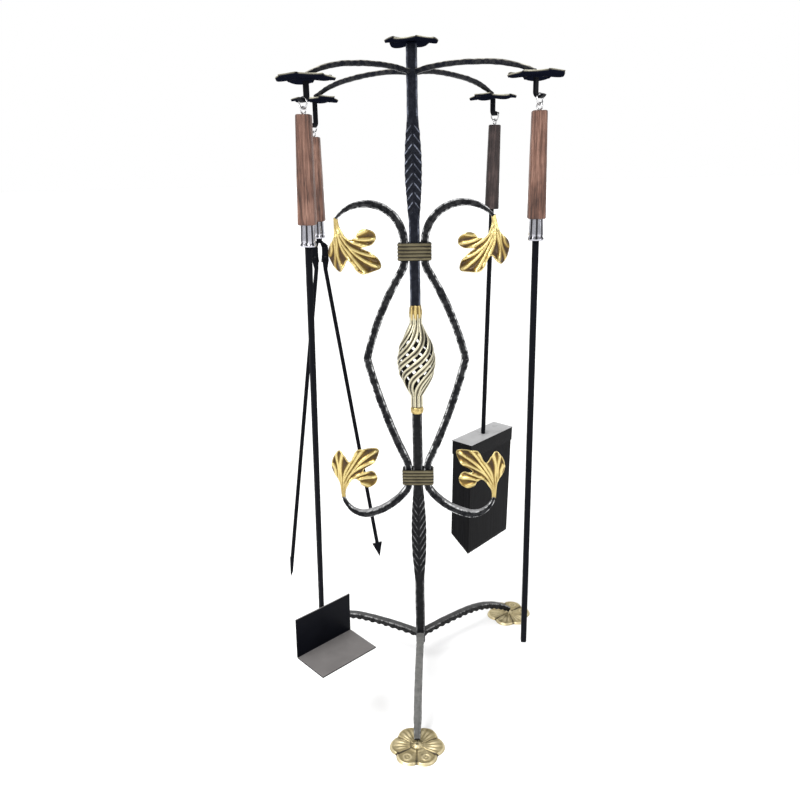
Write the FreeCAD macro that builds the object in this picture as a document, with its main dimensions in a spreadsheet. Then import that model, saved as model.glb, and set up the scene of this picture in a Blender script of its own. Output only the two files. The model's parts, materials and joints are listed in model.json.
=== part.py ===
"""Fireplace tool set: a forged three-legged stand with four tools hanging from its arms.

The stand's post rises along +Z. The part is built about the post, and at the end every
piece is moved together, so that the origin lies on the floor under the middle of the
whole set. Lengths are in millimetres and angles in degrees.
"""
import FreeCAD
import Part
import Sketcher
import math
import os

from FreeCAD import Placement, Rotation, Vector

SIZES = [
    # the post, from the floor up
    ("post_side", 12.0), ("post_base", 27.0), ("lower_plain", 93.0), ("lower_lens", 125.0),
    ("lower_neck", 102.0), ("seat_height", 23.0), ("basket_height", 88.0),
    ("crown_height", 21.5), ("upper_neck", 101.5), ("upper_lens", 103.0),
    ("upper_plain", 73.0), ("lens_width", 18.8), ("lens_depth", 9.0),
    # the twisted basket
    ("wire_count", 8), ("wire_side", 4.0), ("wire_ring", 5.5), ("basket_girth", 47.0),
    ("basket_turn", 190.0), ("cap_girth", 15.2),
    # the collars that bind the scrolls to the post
    ("collar_height", 20.0), ("collar_wall", 3.2), ("collar_gap", 1.3), ("rib_depth", 0.8),
    ("rib_width", 1.6), ("rib_count", 4), ("upper_collar_base", 531.0),
    ("lower_collar_base", 255.0),
    # the scrolls and their leaves
    ("scroll_side", 9.0), ("scroll_depth", 10.0), ("kink_height", 415.0),
    ("kink_reach", 58.5), ("leaf_length", 66.0), ("leaf_sheet", 1.6), ("leaf_curl", 60.0),
    ("leaf_middle", 18.0), ("lean_upper_left", 0.0), ("lean_upper_right", 13.0),
    ("lean_lower_left", 4.0), ("lean_lower_right", 3.0),
    # the four arms with their flowers and hooks
    ("arm_side", 5.4), ("arm_height", 729.0), ("arm_rise", 4.3), ("hook_reach", 153.5),
    ("arm_bearing", 52.0), ("flower_height", 711.0), ("flower_girth", 58.0),
    ("flower_sheet", 2.0), ("petal_count", 6), ("petal_tilt", 9.0),
    ("hook_strip", 2.5), ("hook_width", 6.0), ("hook_bend", 4.75), ("hook_depth", 19.0),
    # the three legs and their feet
    ("leg_side", 9.5), ("leg_height", 39.0), ("leg_reach", 165.5), ("foot_girth", 63.0),
    ("foot_sheet", 3.0), ("foot_boss", 6.5), ("bearing_front", -90.0), ("bearing_right", 40.0),
    ("bearing_left", 155.0),
    # rings, screw eyes, handles and ferrules, the same on every tool
    ("ring_radius", 5.2), ("ring_wire", 1.6), ("eye_radius", 3.0), ("eye_wire", 1.6),
    ("shank_length", 14.0), ("shank_girth", 2.4), ("link_play", 0.15),
    ("handle_length", 100.5), ("handle_top", 14.3), ("handle_foot", 17.2),
    ("handle_bevel", 1.6), ("ferrule_length", 21.0), ("ferrule_top", 14.0),
    ("ferrule_foot", 15.6), ("ferrule_bevel", 3.6),
    # poker
    ("poker_side", 6.4), ("poker_length", 465.0), ("poker_bevel", 1.2),
    # brush
    ("rod_girth", 6.0), ("rod_length", 307.0), ("brush_length", 100.0),
    ("brush_width", 32.0), ("brush_cap", 20.0), ("cap_wall", 0.8), ("cap_lip", 0.6),
    ("bristle_drop", 146.0), ("bristle_slant", 22.0), ("brush_lean", -1.7),
    # shovel
    ("shovel_top", 6.4), ("shovel_foot", 4.8), ("shovel_length", 441.0),
    ("shovel_sheet", 1.6), ("pan_width", 78.0), ("pan_back", 51.0), ("pan_floor", 48.0),
    ("pan_lap", 34.0), ("pan_turn", 46.5), ("shovel_lean", 1.7),
    # tongs
    ("tongs_drop", 10.0), ("bow_sheet", 3.0), ("bow_strip", 3.5), ("bow_height", 30.0),
    ("bow_half", 10.5), ("bow_neck", 3.0), ("bow_shoulder", 9.0), ("bow_window", 3.4),
    ("pivot_half", 6.5), ("pivot_drop", 25.0), ("rivet_girth", 3.2), ("rivet_head", 5.6),
    ("rivet_rise", 1.4), ("rivet_play", 0.05), ("arm_sheet", 3.0), ("arm_strip", 8.0),
    ("cheek_rise", 14.0), ("cheek_fall", 10.0), ("prong_side", 5.0), ("prong_spread", 7.9),
    ("prong_length", 427.0), ("prong_extra", 15.0), ("tongs_turn", 15.0),
]

ARMS = {"front_right": -1, "back_right": 0, "back_left": 1, "front_left": 2}
TOOLS = {"poker": "front_right", "brush": "back_right", "tongs": "back_left",
         "shovel": "front_left"}
WITH_FERRULE = ("poker", "shovel", "tongs")
LEGS = ("front", "right", "left")
SIDES = {"left": -1, "right": 1}

document = FreeCAD.newDocument("fireplace_tool_set")
sheet = document.addObject("Spreadsheet::Sheet", "Sizes")
for row, (alias, number) in enumerate(SIZES, start=1):
    sheet.set("A%d" % row, alias)
    sheet.set("B%d" % row, str(number))
    sheet.setAlias("B%d" % row, alias)
document.recompute()

pieces = []


def size(alias):
    """The number that the sheet holds for a named size."""
    return float(sheet.get(alias))


def count(alias):
    """The whole number that the sheet holds for a named count."""
    return int(round(size(alias)))


def cell(alias):
    """The expression that binds a property to a named size."""
    return "Sizes." + alias


def keep(item, label, placement=None):
    """Name a finished piece, put it in place and note it for export."""
    item.Label = label
    if placement is not None:
        item.Placement = placement
    pieces.append(item)
    return item


def shaped(label, shape, placement=None):
    """A piece whose shape is worked out by this file."""
    item = document.addObject("Part::Feature", label)
    item.Shape = shape
    return keep(item, label, placement)


def at(x, y, z, turn=0.0):
    """A placement at a point, turned about the upright axis."""
    return Placement(Vector(x, y, z), Rotation(Vector(0, 0, 1), turn))


def polar(radius, bearing, z=0.0):
    """The point at a radius and a bearing about the post."""
    angle = math.radians(bearing)
    return Vector(radius * math.cos(angle), radius * math.sin(angle), z)


# ---------------------------------------------------------------- drawing helpers

def new_body(label):
    return document.addObject("PartDesign::Body", label)


def origin_item(body, role):
    """One of a body's own origin planes or axes."""
    return [item for item in body.Origin.OriginFeatures if item.Role == role][0]


def add_rectangle(sketch, width, depth, tag):
    """A rectangle about the sketch's origin whose two sides are bound to the sheet."""
    first = sketch.GeometryCount
    corners = [Vector(-9, -9, 0), Vector(9, -9, 0), Vector(9, 9, 0), Vector(-9, 9, 0)]
    for index in range(4):
        sketch.addGeometry(Part.LineSegment(corners[index], corners[(index + 1) % 4]), False)
    for index in range(4):
        after = first + (index + 1) % 4
        sketch.addConstraint(Sketcher.Constraint("Coincident", first + index, 2, after, 1))
    for index, kind in enumerate(("Horizontal", "Vertical", "Horizontal", "Vertical")):
        sketch.addConstraint(Sketcher.Constraint(kind, first + index))
    sketch.addConstraint(Sketcher.Constraint("Symmetric", first, 1, first + 1, 2, -1, 1))
    across = sketch.addConstraint(Sketcher.Constraint("DistanceX", first, 1, first, 2, 18.0))
    sketch.renameConstraint(across, tag + "_width")
    sketch.setExpression("Constraints." + tag + "_width", width)
    along = sketch.addConstraint(Sketcher.Constraint("DistanceY", first + 1, 1, first + 1, 2, 18.0))
    sketch.renameConstraint(along, tag + "_depth")
    sketch.setExpression("Constraints." + tag + "_depth", depth)


def level_sketch(body, name, lift="0"):
    """An empty sketch on the body's level plane, raised by an expression."""
    sketch = body.newObject("Sketcher::SketchObject", name)
    sketch.AttachmentSupport = [(origin_item(body, "XY_Plane"), "")]
    sketch.MapMode = "FlatFace"
    sketch.setExpression("AttachmentOffset.Base.z", lift)
    return sketch


def rectangle(body, name, lift, width, depth):
    sketch = level_sketch(body, name, lift)
    add_rectangle(sketch, width, depth, "side")
    return sketch


def pad(body, name, lift, width, depth, length):
    """An upright bar of rectangular section."""
    profile = rectangle(body, name + "_outline", lift, width, depth)
    feature = body.newObject("PartDesign::Pad", name)
    feature.Profile = profile
    feature.setExpression("Length", length)
    return feature


def loft(body, name, sections, ruled=False):
    """A tapering bar through rectangular sections, each a lift, a width and a depth."""
    sketches = []
    for index, (lift, width, depth) in enumerate(sections):
        sketches.append(rectangle(body, "%s_outline_%d" % (name, index), lift, width, depth))
    feature = body.newObject("PartDesign::AdditiveLoft", name)
    feature.Profile = sketches[0]
    feature.Sections = sketches[1:]
    feature.Ruled = ruled
    return feature


def add_bevelled_square(sketch, width, bevel):
    """A square with bevelled corners about the sketch's origin, bound to the sheet."""
    half = size(width) / 2
    short = half - size(bevel)
    outline = [(-short, -half), (short, -half), (half, -short), (half, short),
               (short, half), (-short, half), (-half, short), (-half, -short)]
    corners = [Vector(x, y, 0) for x, y in outline]
    for index in range(8):
        line = Part.LineSegment(corners[index], corners[(index + 1) % 8])
        sketch.addGeometry(line, False)
    for index in range(8):
        sketch.addConstraint(Sketcher.Constraint("Coincident", index, 2, (index + 1) % 8, 1))
    for index in range(4):
        sketch.addConstraint(Sketcher.Constraint("Symmetric", index, 1, index + 4, 1, -1, 1))
    sketch.addConstraint(Sketcher.Constraint("Horizontal", 0))
    sketch.addConstraint(Sketcher.Constraint("Vertical", 2))
    bindings = [
        ("width", cell(width), ("DistanceX", 7, 1, 2, 1, 2 * half)),
        ("depth", cell(width), ("DistanceY", 1, 1, 4, 1, 2 * half)),
        ("right_in", cell(bevel), ("DistanceX", 1, 1, 1, 2, half - short)),
        ("right_up", cell(bevel), ("DistanceY", 1, 1, 1, 2, half - short)),
        ("left_in", cell(bevel), ("DistanceX", 3, 2, 3, 1, half - short)),
        ("left_up", cell(bevel), ("DistanceY", 3, 1, 3, 2, half - short)),
    ]
    for name, expression, rule in bindings:
        index = sketch.addConstraint(Sketcher.Constraint(*rule))
        sketch.renameConstraint(index, name)
        sketch.setExpression("Constraints." + name, expression)


def bevelled_loft(body, name, length, foot, head, bevel):
    """A tapering upright bar with bevelled corners."""
    lower = level_sketch(body, name + "_foot_outline")
    add_bevelled_square(lower, foot, bevel)
    upper = level_sketch(body, name + "_head_outline", cell(length))
    add_bevelled_square(upper, head, bevel)
    feature = body.newObject("PartDesign::AdditiveLoft", name)
    feature.Profile = lower
    feature.Sections = [upper]
    feature.Ruled = True
    return feature


def tangent_path(points, heading):
    """Arcs through points of the XZ plane, each starting the way the last one ended."""
    edges = []
    heading = Vector(heading).normalize()
    for start, end in zip(points, points[1:]):
        chord = end - start
        along = Vector(chord).normalize()
        aside = heading - along * heading.dot(along)
        if aside.Length < 1e-3:
            edges.append(Part.LineSegment(start, end).toShape())
        else:
            bend = math.atan2(aside.Length, heading.dot(along))
            bulge = chord.Length / 2 * math.tan(bend / 2)
            middle = start + chord * 0.5 + aside.normalize() * bulge
            edges.append(Part.Arc(start, middle, end).toShape())
        heading = along * (2 * heading.dot(along)) - heading
    return edges, heading


def swept_bar(points, heading, thick, wide):
    """A bar of rectangular section along arcs in the XZ plane, `wide` across the plane."""
    edges, _ = tangent_path(points, heading)
    heading = Vector(heading).normalize()
    side = Vector(heading.z, 0, -heading.x) * (thick / 2)
    across = Vector(0, wide / 2, 0)
    start = points[0]
    corners = [start + side + across, start - side + across, start - side - across,
               start + side - across]
    section = Part.makePolygon(corners + corners[:1])
    return Part.Wire(edges).makePipeShell([section], True, False)


def slab(x0, x1, y0, y1, z0, z1):
    """A plain box between two corners."""
    return Part.makeBox(x1 - x0, y1 - y0, z1 - z0, Vector(x0, y0, z0))


def plate(points, near, far):
    """A flat plate with an outline in the XZ plane, from y = near to y = far."""
    corners = [Vector(x, near, z) for x, z in points]
    face = Part.Face(Part.makePolygon(corners + corners[:1]))
    return face.extrude(Vector(0, far - near, 0))


# ---------------------------------------------------------------- levels on the post

post_half = size("post_side") / 2
lower_post_top = (size("post_base") + size("lower_plain") + size("lower_lens")
                  + size("lower_neck"))
basket_base = lower_post_top + size("seat_height")
basket_top = basket_base + size("basket_height")
upper_post_base = basket_top + size("crown_height")
post_top = (upper_post_base + size("upper_neck") + size("upper_lens")
            + size("upper_plain"))


def lens_sections(base, length, foot, head):
    """Sections of a forged leaf shape: it swells sideways as it is flattened."""
    middle_width = "(%s + %s) / 2" % (cell("post_side"), cell("lens_width"))
    middle_depth = "(%s + %s) / 2" % (cell("post_side"), cell("lens_depth"))
    return [
        (base, foot, cell("post_side")),
        (base + " + 0.22 * " + length, middle_width, middle_depth),
        (base + " + 0.54 * " + length, cell("lens_width"), cell("lens_depth")),
        (base + " + 0.82 * " + length, middle_width, middle_depth),
        (base + " + " + length, head, cell("post_side")),
    ]


def make_post_half(label, first, lens, last, base):
    """One forged length of the post: plain bar, leaf-shaped swelling, plain bar."""
    side = cell("post_side")
    body = new_body(label)
    pad(body, label + "_foot", "0", side, side, first)
    loft(body, label + "_lens", lens_sections(first, lens, side, side))
    pad(body, label + "_head", first + " + " + lens, side, side, last)
    keep(body, label, at(0, 0, base))


make_post_half("post_lower", cell("lower_plain"), cell("lower_lens"), cell("lower_neck"),
               size("post_base"))
make_post_half("post_upper", cell("upper_neck"), cell("upper_lens"), cell("upper_plain"),
               upper_post_base)


# ---------------------------------------------------------------- basket

def basket_point(share, turn):
    """A point on a basket wire, from share 0 at its foot to 1 at its head."""
    swell = math.sin(math.pi * share) ** 1.15
    widest = (size("basket_girth") - size("wire_side")) / 2
    radius = size("wire_ring") + (widest - size("wire_ring")) * swell
    eased = share - math.sin(2 * math.pi * share) / (2 * math.pi) * 0.55
    angle = turn + size("basket_turn") * eased
    return polar(radius, angle, basket_base + size("basket_height") * share)


def make_basket():
    """Round wires, twisted together and opened out between the two caps."""
    stations = 11
    wires = []
    for number in range(count("wire_count")):
        turn = 360.0 / count("wire_count") * number
        points = [basket_point(step / (stations - 1), turn) for step in range(stations)]
        curve = Part.BSplineCurve()
        upright = Vector(0, 0, size("basket_height"))
        curve.interpolate(Points=points, InitialTangent=upright, FinalTangent=upright)
        path = Part.Wire(curve.toShape())
        ring = Part.Wire(Part.makeCircle(size("wire_side") / 2, points[0], Vector(0, 0, 1)))
        wires.append(path.makePipeShell([ring], True, False))
    shaped("basket_wires", Part.makeCompound(wires))


def make_caps():
    """The turned cones that gather the wires above and below the basket."""
    radius = size("cap_girth") / 2
    seat = Part.makeCone(post_half, radius, size("seat_height") * 0.4,
                         Vector(0, 0, lower_post_top))
    drum = Part.makeCylinder(radius, size("seat_height") * 0.6,
                             Vector(0, 0, lower_post_top + size("seat_height") * 0.4))
    crown_drum = Part.makeCylinder(radius, size("crown_height") * 0.6,
                                   Vector(0, 0, basket_top))
    crown = Part.makeCone(radius, post_half, size("crown_height") * 0.4,
                          Vector(0, 0, basket_top + size("crown_height") * 0.6))
    lower = seat.fuse(drum).removeSplitter()
    upper = crown_drum.fuse(crown).removeSplitter()
    shaped("basket_caps", Part.makeCompound([lower, upper]))


make_basket()
make_caps()


# ---------------------------------------------------------------- collars

collar_inner_half = post_half + size("collar_gap") + size("scroll_side")
scroll_line = collar_inner_half - size("scroll_side") / 2


def make_collar(label, base):
    """A folded band with ribs, drawn round the post and the two scroll bars."""
    inner_width = "%s + 2 * %s + 2 * %s" % (
        cell("post_side"), cell("collar_gap"), cell("scroll_side"))
    inner_depth = cell("post_side")
    outer_width = "%s + 2 * %s" % (inner_width, cell("collar_wall"))
    outer_depth = "%s + 2 * %s" % (inner_depth, cell("collar_wall"))
    body = new_body(label)
    outline = level_sketch(body, label + "_outline")
    add_rectangle(outline, outer_width, outer_depth, "outer")
    add_rectangle(outline, inner_width, inner_depth, "inner")
    band = body.newObject("PartDesign::Pad", label + "_band")
    band.Profile = outline
    band.setExpression("Length", cell("collar_height"))
    document.recompute()
    pitch = "%s / (%s + 1)" % (cell("collar_height"), cell("rib_count"))
    lift = "%s - %s / 2" % (pitch, cell("rib_width"))
    ring = level_sketch(body, label + "_groove_outline", lift)
    add_rectangle(ring, outer_width + " + 4", outer_depth + " + 4", "clear")
    add_rectangle(ring, "%s - 2 * %s" % (outer_width, cell("rib_depth")),
                  "%s - 2 * %s" % (outer_depth, cell("rib_depth")), "root")
    groove = body.newObject("PartDesign::Pocket", label + "_groove")
    groove.Profile = ring
    groove.Reversed = True
    groove.setExpression("Length", cell("rib_width"))
    document.recompute()
    if groove.Shape.Volume > band.Shape.Volume - 1:
        raise RuntimeError(label + ": the groove cuts nothing")
    rows = body.newObject("PartDesign::LinearPattern", label + "_grooves")
    rows.Originals = [groove]
    rows.Direction = (origin_item(body, "Z_Axis"), [""])
    rows.setExpression("Length", "%s * (%s - 1)" % (pitch, cell("rib_count")))
    rows.setExpression("Occurrences", cell("rib_count"))
    body.Tip = rows
    keep(body, label, at(0, 0, base))


make_collar("upper_collar", size("upper_collar_base"))
make_collar("lower_collar", size("lower_collar_base"))


# ---------------------------------------------------------------- scrolls and leaves

def scroll_bar(loop_points, flank_points, collar_base, upward):
    """A scroll on the +X side: its loop, the length inside the collar and its flank."""
    collar_top = collar_base + size("collar_height")
    near = collar_top if upward else collar_base
    far = collar_base if upward else collar_top
    sign = 1 if upward else -1
    start = Vector(scroll_line, 0, near)
    loop = swept_bar([start] + loop_points, Vector(0, 0, sign), size("scroll_side"),
                     size("scroll_depth"))
    flank_start = Vector(scroll_line, 0, far)
    flank = swept_bar([flank_start] + flank_points, Vector(0, 0, -sign),
                      size("scroll_side"), size("scroll_depth"))
    half = size("scroll_side") / 2
    deep = size("scroll_depth") / 2
    straight = slab(scroll_line - half, scroll_line + half, -deep, deep, collar_base,
                    collar_top)
    whole = straight.fuse([loop, flank]).removeSplitter()
    reach = 2 * size("kink_reach")
    floor = size("kink_height") if upward else 0
    ceiling = post_top if upward else size("kink_height")
    return whole.common(slab(-reach, 3 * reach, -reach, reach, floor, ceiling))


def mirrored(shape, side):
    """The shape itself on the right, or its mirror image on the left."""
    if side > 0:
        return shape
    return shape.mirror(Vector(0, 0, 0), Vector(1, 0, 0))


upper_collar_top = size("upper_collar_base") + size("collar_height")
upper_end = Vector(89.0, 0, upper_collar_top + 28.0)
lower_end = Vector(94.5, 0, size("lower_collar_base") - 19.0)


def make_scrolls():
    """Four bars: each pair meets in a mitred kink at the widest point of the frame."""
    kink = Vector(size("kink_reach"), 0, size("kink_height"))
    over = Vector(3.4, 0, -12.0)
    under = Vector(2.6, 0, 12.0)
    upper_start = Vector(scroll_line, 0, size("upper_collar_base"))
    lower_start = Vector(scroll_line, 0, size("lower_collar_base") + size("collar_height"))
    upper = scroll_bar([upper_end], [upper_start + over, kink, kink + Vector(2.4, 0, -10)],
                       size("upper_collar_base"), True)
    base = size("lower_collar_base")
    loop = [Vector(scroll_line + 3.0, 0, base - 9.0), Vector(34.0, 0, base - 28.0),
            Vector(62.0, 0, base - 41.0), Vector(84.0, 0, base - 36.0), lower_end]
    lower = scroll_bar(loop, [lower_start + under, kink, kink + Vector(2.6, 0, 10)],
                       base, False)
    for name, side in SIDES.items():
        shaped("scroll_upper_" + name, mirrored(upper, side))
        shaped("scroll_lower_" + name, mirrored(lower, side))
    return upper, lower


LEAF_EDGE = [
    (-0.036, -0.03), (-0.04, 0.20), (-0.06, 0.36), (-0.16, 0.56), (-0.155, 0.72),
    (-0.09, 0.87), (0.02, 0.98), (0.10, 0.90), (0.17, 0.76), (0.25, 0.80), (0.33, 0.95),
    (0.45, 1.01), (0.62, 0.98), (0.75, 0.92), (0.71, 0.75), (0.60, 0.64), (0.43, 0.54),
    (0.60, 0.49), (0.68, 0.37), (0.64, 0.25), (0.49, 0.19), (0.38, 0.25), (0.33, 0.35),
    (0.22, 0.38), (0.12, 0.27), (0.05, 0.12), (0.036, -0.03)]


def leaf_shape():
    """A pressed sheet leaf of three lobes, its stem at the origin and its tips along +Z.

    The edge is given as shares of the leaf's length; the inner lobes lie towards +X.
    """
    length = size("leaf_length")
    edge = [Vector(x * length, 0, z * length) for x, z in LEAF_EDGE]
    curve = Part.BSplineCurve()
    curve.interpolate(Points=edge)
    outline = Part.Wire([curve.toShape(), Part.LineSegment(edge[-1], edge[0]).toShape()])
    curl = size("leaf_curl")
    blank = Part.Face(outline).extrude(Vector(0, curl, 0))
    middle = size("leaf_middle")
    outer = Part.makeCylinder(curl, 3 * length, Vector(middle, curl, -length))
    inner = Part.makeCylinder(curl - size("leaf_sheet"), 3 * length,
                              Vector(middle, curl, -length))
    front = slab(-length, length, -1, curl * 0.8, -length, 2 * length)
    return blank.common(outer.cut(inner)).common(front)


def placed_leaf(leaf, bar, bar_end, upward, lean):
    """A leaf whose stem starts at the end of a right-hand bar, its lobes turned inwards.

    It leans out from the bar's end by an angle.
    """
    placed = leaf.mirror(Vector(0, 0, 0), Vector(1, 0, 0))
    if not upward:
        placed = placed.mirror(Vector(0, 0, 0), Vector(0, 0, 1))
    stem_back = placed.common(slab(-3, 3, -99, 99, -3, 3)).BoundBox.YMin
    placed.rotate(Vector(0, 0, 0), Vector(0, 1, 0), lean if upward else -lean)
    placed.translate(bar_end - Vector(0, stem_back + size("leaf_sheet") / 2, 0))
    return placed.cut(bar)


def make_leaves(upper, lower):
    """Four leaves, one on the end of each scroll, pointing back at the post."""
    leaf = leaf_shape()
    for name, side in SIDES.items():
        above = placed_leaf(leaf, upper, upper_end, False, size("lean_upper_" + name))
        below = placed_leaf(leaf, lower, lower_end, True, size("lean_lower_" + name))
        shaped("leaf_upper_" + name, mirrored(above, side))
        shaped("leaf_lower_" + name, mirrored(below, side))


make_leaves(*make_scrolls())


# ---------------------------------------------------------------- flowers, arms, hooks

def flower(girth, sheet_thickness, tilt, boss, first_petal):
    """A pressed flower: overlapping round petals about a raised boss, base at z = 0."""
    petals = count("petal_count")
    petal_radius = girth * 0.235
    middle = girth / 2 - petal_radius
    whole = Part.makeCylinder(girth * 0.19, sheet_thickness)
    whole = whole.fuse(Part.makeCone(girth * 0.13, girth * 0.08, boss))
    for number in range(petals):
        petal = Part.makeCylinder(petal_radius, sheet_thickness, Vector(middle, 0, 0))
        petal.rotate(Vector(girth * 0.12, 0, 0), Vector(0, 1, 0), -tilt)
        petal.rotate(Vector(0, 0, 0), Vector(0, 0, 1), first_petal + 360.0 / petals * number)
        whole = whole.fuse(petal)
    above = slab(-girth, girth, -girth, girth, 0, girth)
    return whole.removeSplitter().common(above)


def arm_bearing(name):
    """The bearing of an arm: the four stand square to each other."""
    return size("arm_bearing") + 90.0 * ARMS[name]


flower_top = size("flower_height") + size("flower_sheet")
hang_reach = size("hook_reach") + size("hook_bend")
DROPS = {"tongs": size("tongs_drop")}


def hook_foot(tool):
    """The lowest level of a tool's hook: the one that holds the tongs is longer."""
    return size("flower_height") - size("hook_depth") - DROPS.get(tool, 0.0)


def arm_shape():
    """A bowed square bar from the post out to the flower at its end."""
    half = size("arm_side") / 2
    height = size("arm_height")
    reach = size("hook_reach")
    end = Vector(reach, 0, flower_top + half)
    points = [Vector(0, 0, height), Vector(reach * 0.3, 0, height + size("arm_rise")),
              Vector(reach * 0.65, 0, height + size("arm_rise") * 0.3), end]
    bar = swept_bar(points, Vector(1, 0, 0.22), size("arm_side"), size("arm_side"))
    return bar.common(slab(0, reach * 2, -half * 2, half * 2, flower_top, post_top))


def hook_shape(tool):
    """A flat strip hanging from the flower and bent up into a hook that opens outwards."""
    reach = size("hook_reach")
    bend = size("hook_bend")
    strip = size("hook_strip")
    centre = hook_foot(tool) + strip / 2 + bend
    tip = math.radians(62.0)
    points = [Vector(reach, 0, size("flower_height")), Vector(reach, 0, centre),
              Vector(reach + bend, 0, centre - bend),
              Vector(reach + bend + bend * math.sin(tip), 0, centre - bend * math.cos(tip))]
    return swept_bar(points, Vector(0, 0, -1), strip, size("hook_width"))


def make_arms():
    """Four arms, each with a flower under its end and a hook under the flower."""
    arm = arm_shape()
    half = post_half
    core = slab(-half, half, -half, half, 0, post_top)
    bloom = flower(size("flower_girth"), size("flower_sheet"), size("petal_tilt"),
                   size("flower_sheet"), 0)
    for tool, name in TOOLS.items():
        bearing = arm_bearing(name)
        turned = arm.copy()
        turned.rotate(Vector(0, 0, 0), Vector(0, 0, 1), bearing)
        shaped("arm_" + name, turned.cut(core))
        spot = polar(size("hook_reach"), bearing, size("flower_height"))
        shaped("flower_" + name, bloom.copy(), at(spot.x, spot.y, spot.z, bearing))
        shaped("hook_" + name, hook_shape(tool), at(0, 0, 0, bearing))
    shaped("flower_top", flower(size("flower_girth"), size("flower_sheet"),
                                size("petal_tilt"), 8.0, 0), at(0, 0, post_top, 12))


def make_legs():
    """Three bowed legs, each ending on a flower-shaped foot that lies on the floor."""
    half = size("leg_side") / 2
    reach = size("leg_reach")
    height = size("leg_height")
    foot_top = size("foot_sheet")
    points = [Vector(0, 0, height - 2), Vector(reach * 0.5, 0, height),
              Vector(reach, 0, foot_top + half + 2)]
    bar = swept_bar(points, Vector(1, 0, 0.09), size("leg_side"), size("leg_side"))
    core = slab(-post_half, post_half, -post_half, post_half, 0, post_top)
    boss = size("foot_boss")
    foot = flower(size("foot_girth"), size("foot_sheet"), 0, boss, 30)
    for name in LEGS:
        bearing = size("bearing_" + name)
        placed_foot = foot.copy()
        placed_foot.rotate(Vector(0, 0, 0), Vector(0, 0, 1), bearing)
        placed_foot.translate(polar(reach, bearing))
        turned = bar.copy()
        turned.rotate(Vector(0, 0, 0), Vector(0, 0, 1), bearing)
        shaped("leg_" + name, turned.cut(core).cut(placed_foot))
        shaped("foot_" + name, placed_foot)


make_arms()
make_legs()


# ---------------------------------------------------------------- what every tool has

ring_inner = size("ring_radius") - size("ring_wire") / 2
ring_drop = math.sqrt(ring_inner ** 2 - (size("hook_width") / 2) ** 2) - size("link_play")
eye_inner = size("eye_radius") - size("eye_wire") / 2
LEANS = {"brush": size("brush_lean"), "shovel": size("shovel_lean")}


def ring_centre(tool):
    """The level of a tool's ring, hanging on its hook's strip."""
    return hook_foot(tool) + size("hook_strip") - ring_drop


def pivot_height(tool):
    """The level of the lowest wire of a tool's ring, where its eye hangs."""
    return ring_centre(tool) - size("ring_radius")


def eye_centre(tool):
    """The level of the eye's loop."""
    return pivot_height(tool) + size("ring_wire") / 2 + size("link_play") - eye_inner


def handle_base(tool):
    """The level of a handle's lower end."""
    head = eye_centre(tool) - size("eye_radius") - size("eye_wire") / 2
    return head - size("handle_length")


def ferrule_base(tool):
    """The level at which a tool's shaft starts, under its ferrule if it has one."""
    ferrule = size("ferrule_length") if tool in WITH_FERRULE else 0.0
    return handle_base(tool) - ferrule


def hanging(tool, z, turn=0.0, offset=None):
    """The placement of a piece on a tool's own axis, with the tool's lean about its ring."""
    bearing = arm_bearing(TOOLS[tool])
    pivot = polar(hang_reach, bearing, pivot_height(tool))
    outward = polar(1.0, bearing)
    lean = Rotation(outward, -LEANS.get(tool, 0.0))
    local = Rotation(Vector(0, 0, 1), turn)
    point = Vector(0, 0, z - pivot_height(tool)) + local.multVec(offset or Vector())
    return Placement(pivot + lean.multVec(point), lean.multiply(local))


def make_ring(tool, bearing):
    """The split ring on the hook, standing square to the strip that it hangs on."""
    ring = document.addObject("Part::Torus", tool + "_ring")
    ring.setExpression("Radius1", cell("ring_radius"))
    ring.setExpression("Radius2", cell("ring_wire") + " / 2")
    stand = Rotation(Vector(0, 0, 1), bearing).multiply(Rotation(Vector(0, 1, 0), 90))
    keep(ring, tool + "_ring", Placement(polar(hang_reach, bearing, ring_centre(tool)), stand))


def make_eye(tool, bearing):
    """The screw eye: a wire loop in line with the arm, and a shank inside the handle."""
    loop = document.addObject("Part::Torus", tool + "_eye_loop")
    loop.setExpression("Radius1", cell("eye_radius"))
    loop.setExpression("Radius2", cell("eye_wire") + " / 2")
    loop.Placement = Placement(Vector(0, 0, 0), Rotation(Vector(1, 0, 0), 90))
    shank = document.addObject("Part::Cylinder", tool + "_eye_shank")
    shank.setExpression("Radius", cell("shank_girth") + " / 2")
    shank.setExpression("Height", cell("shank_length"))
    drop = size("eye_radius") + size("shank_length")
    shank.Placement = at(0, 0, -drop)
    eye = document.addObject("Part::Fuse", tool + "_eye")
    eye.Base = loop
    eye.Tool = shank
    keep(eye, tool + "_eye", hanging(tool, eye_centre(tool), bearing))


def make_handle(tool):
    """A square wooden grip, thicker at its foot, bored for the eye's shank."""
    body = new_body(tool + "_handle")
    bevelled_loft(body, tool + "_grip", "handle_length", "handle_foot", "handle_top",
                  "handle_bevel")
    document.recompute()
    bore = body.newObject("Sketcher::SketchObject", tool + "_bore_outline")
    bore.AttachmentSupport = [(origin_item(body, "XY_Plane"), "")]
    bore.MapMode = "FlatFace"
    bore.setExpression("AttachmentOffset.Base.z", cell("handle_length"))
    bore.addGeometry(Part.Circle(Vector(0, 0, 0), Vector(0, 0, 1), 1.5), False)
    bore.addConstraint(Sketcher.Constraint("Coincident", 0, 3, -1, 1))
    radius = bore.addConstraint(Sketcher.Constraint("Radius", 0, 1.5))
    bore.renameConstraint(radius, "radius")
    bore.setExpression("Constraints.radius",
                       "%s / 2 + %s" % (cell("shank_girth"), cell("rivet_play")))
    hole = body.newObject("PartDesign::Pocket", tool + "_bore")
    hole.Profile = bore
    hole.setExpression("Length", cell("shank_length"))
    keep(body, tool + "_handle", hanging(tool, handle_base(tool)))


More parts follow.
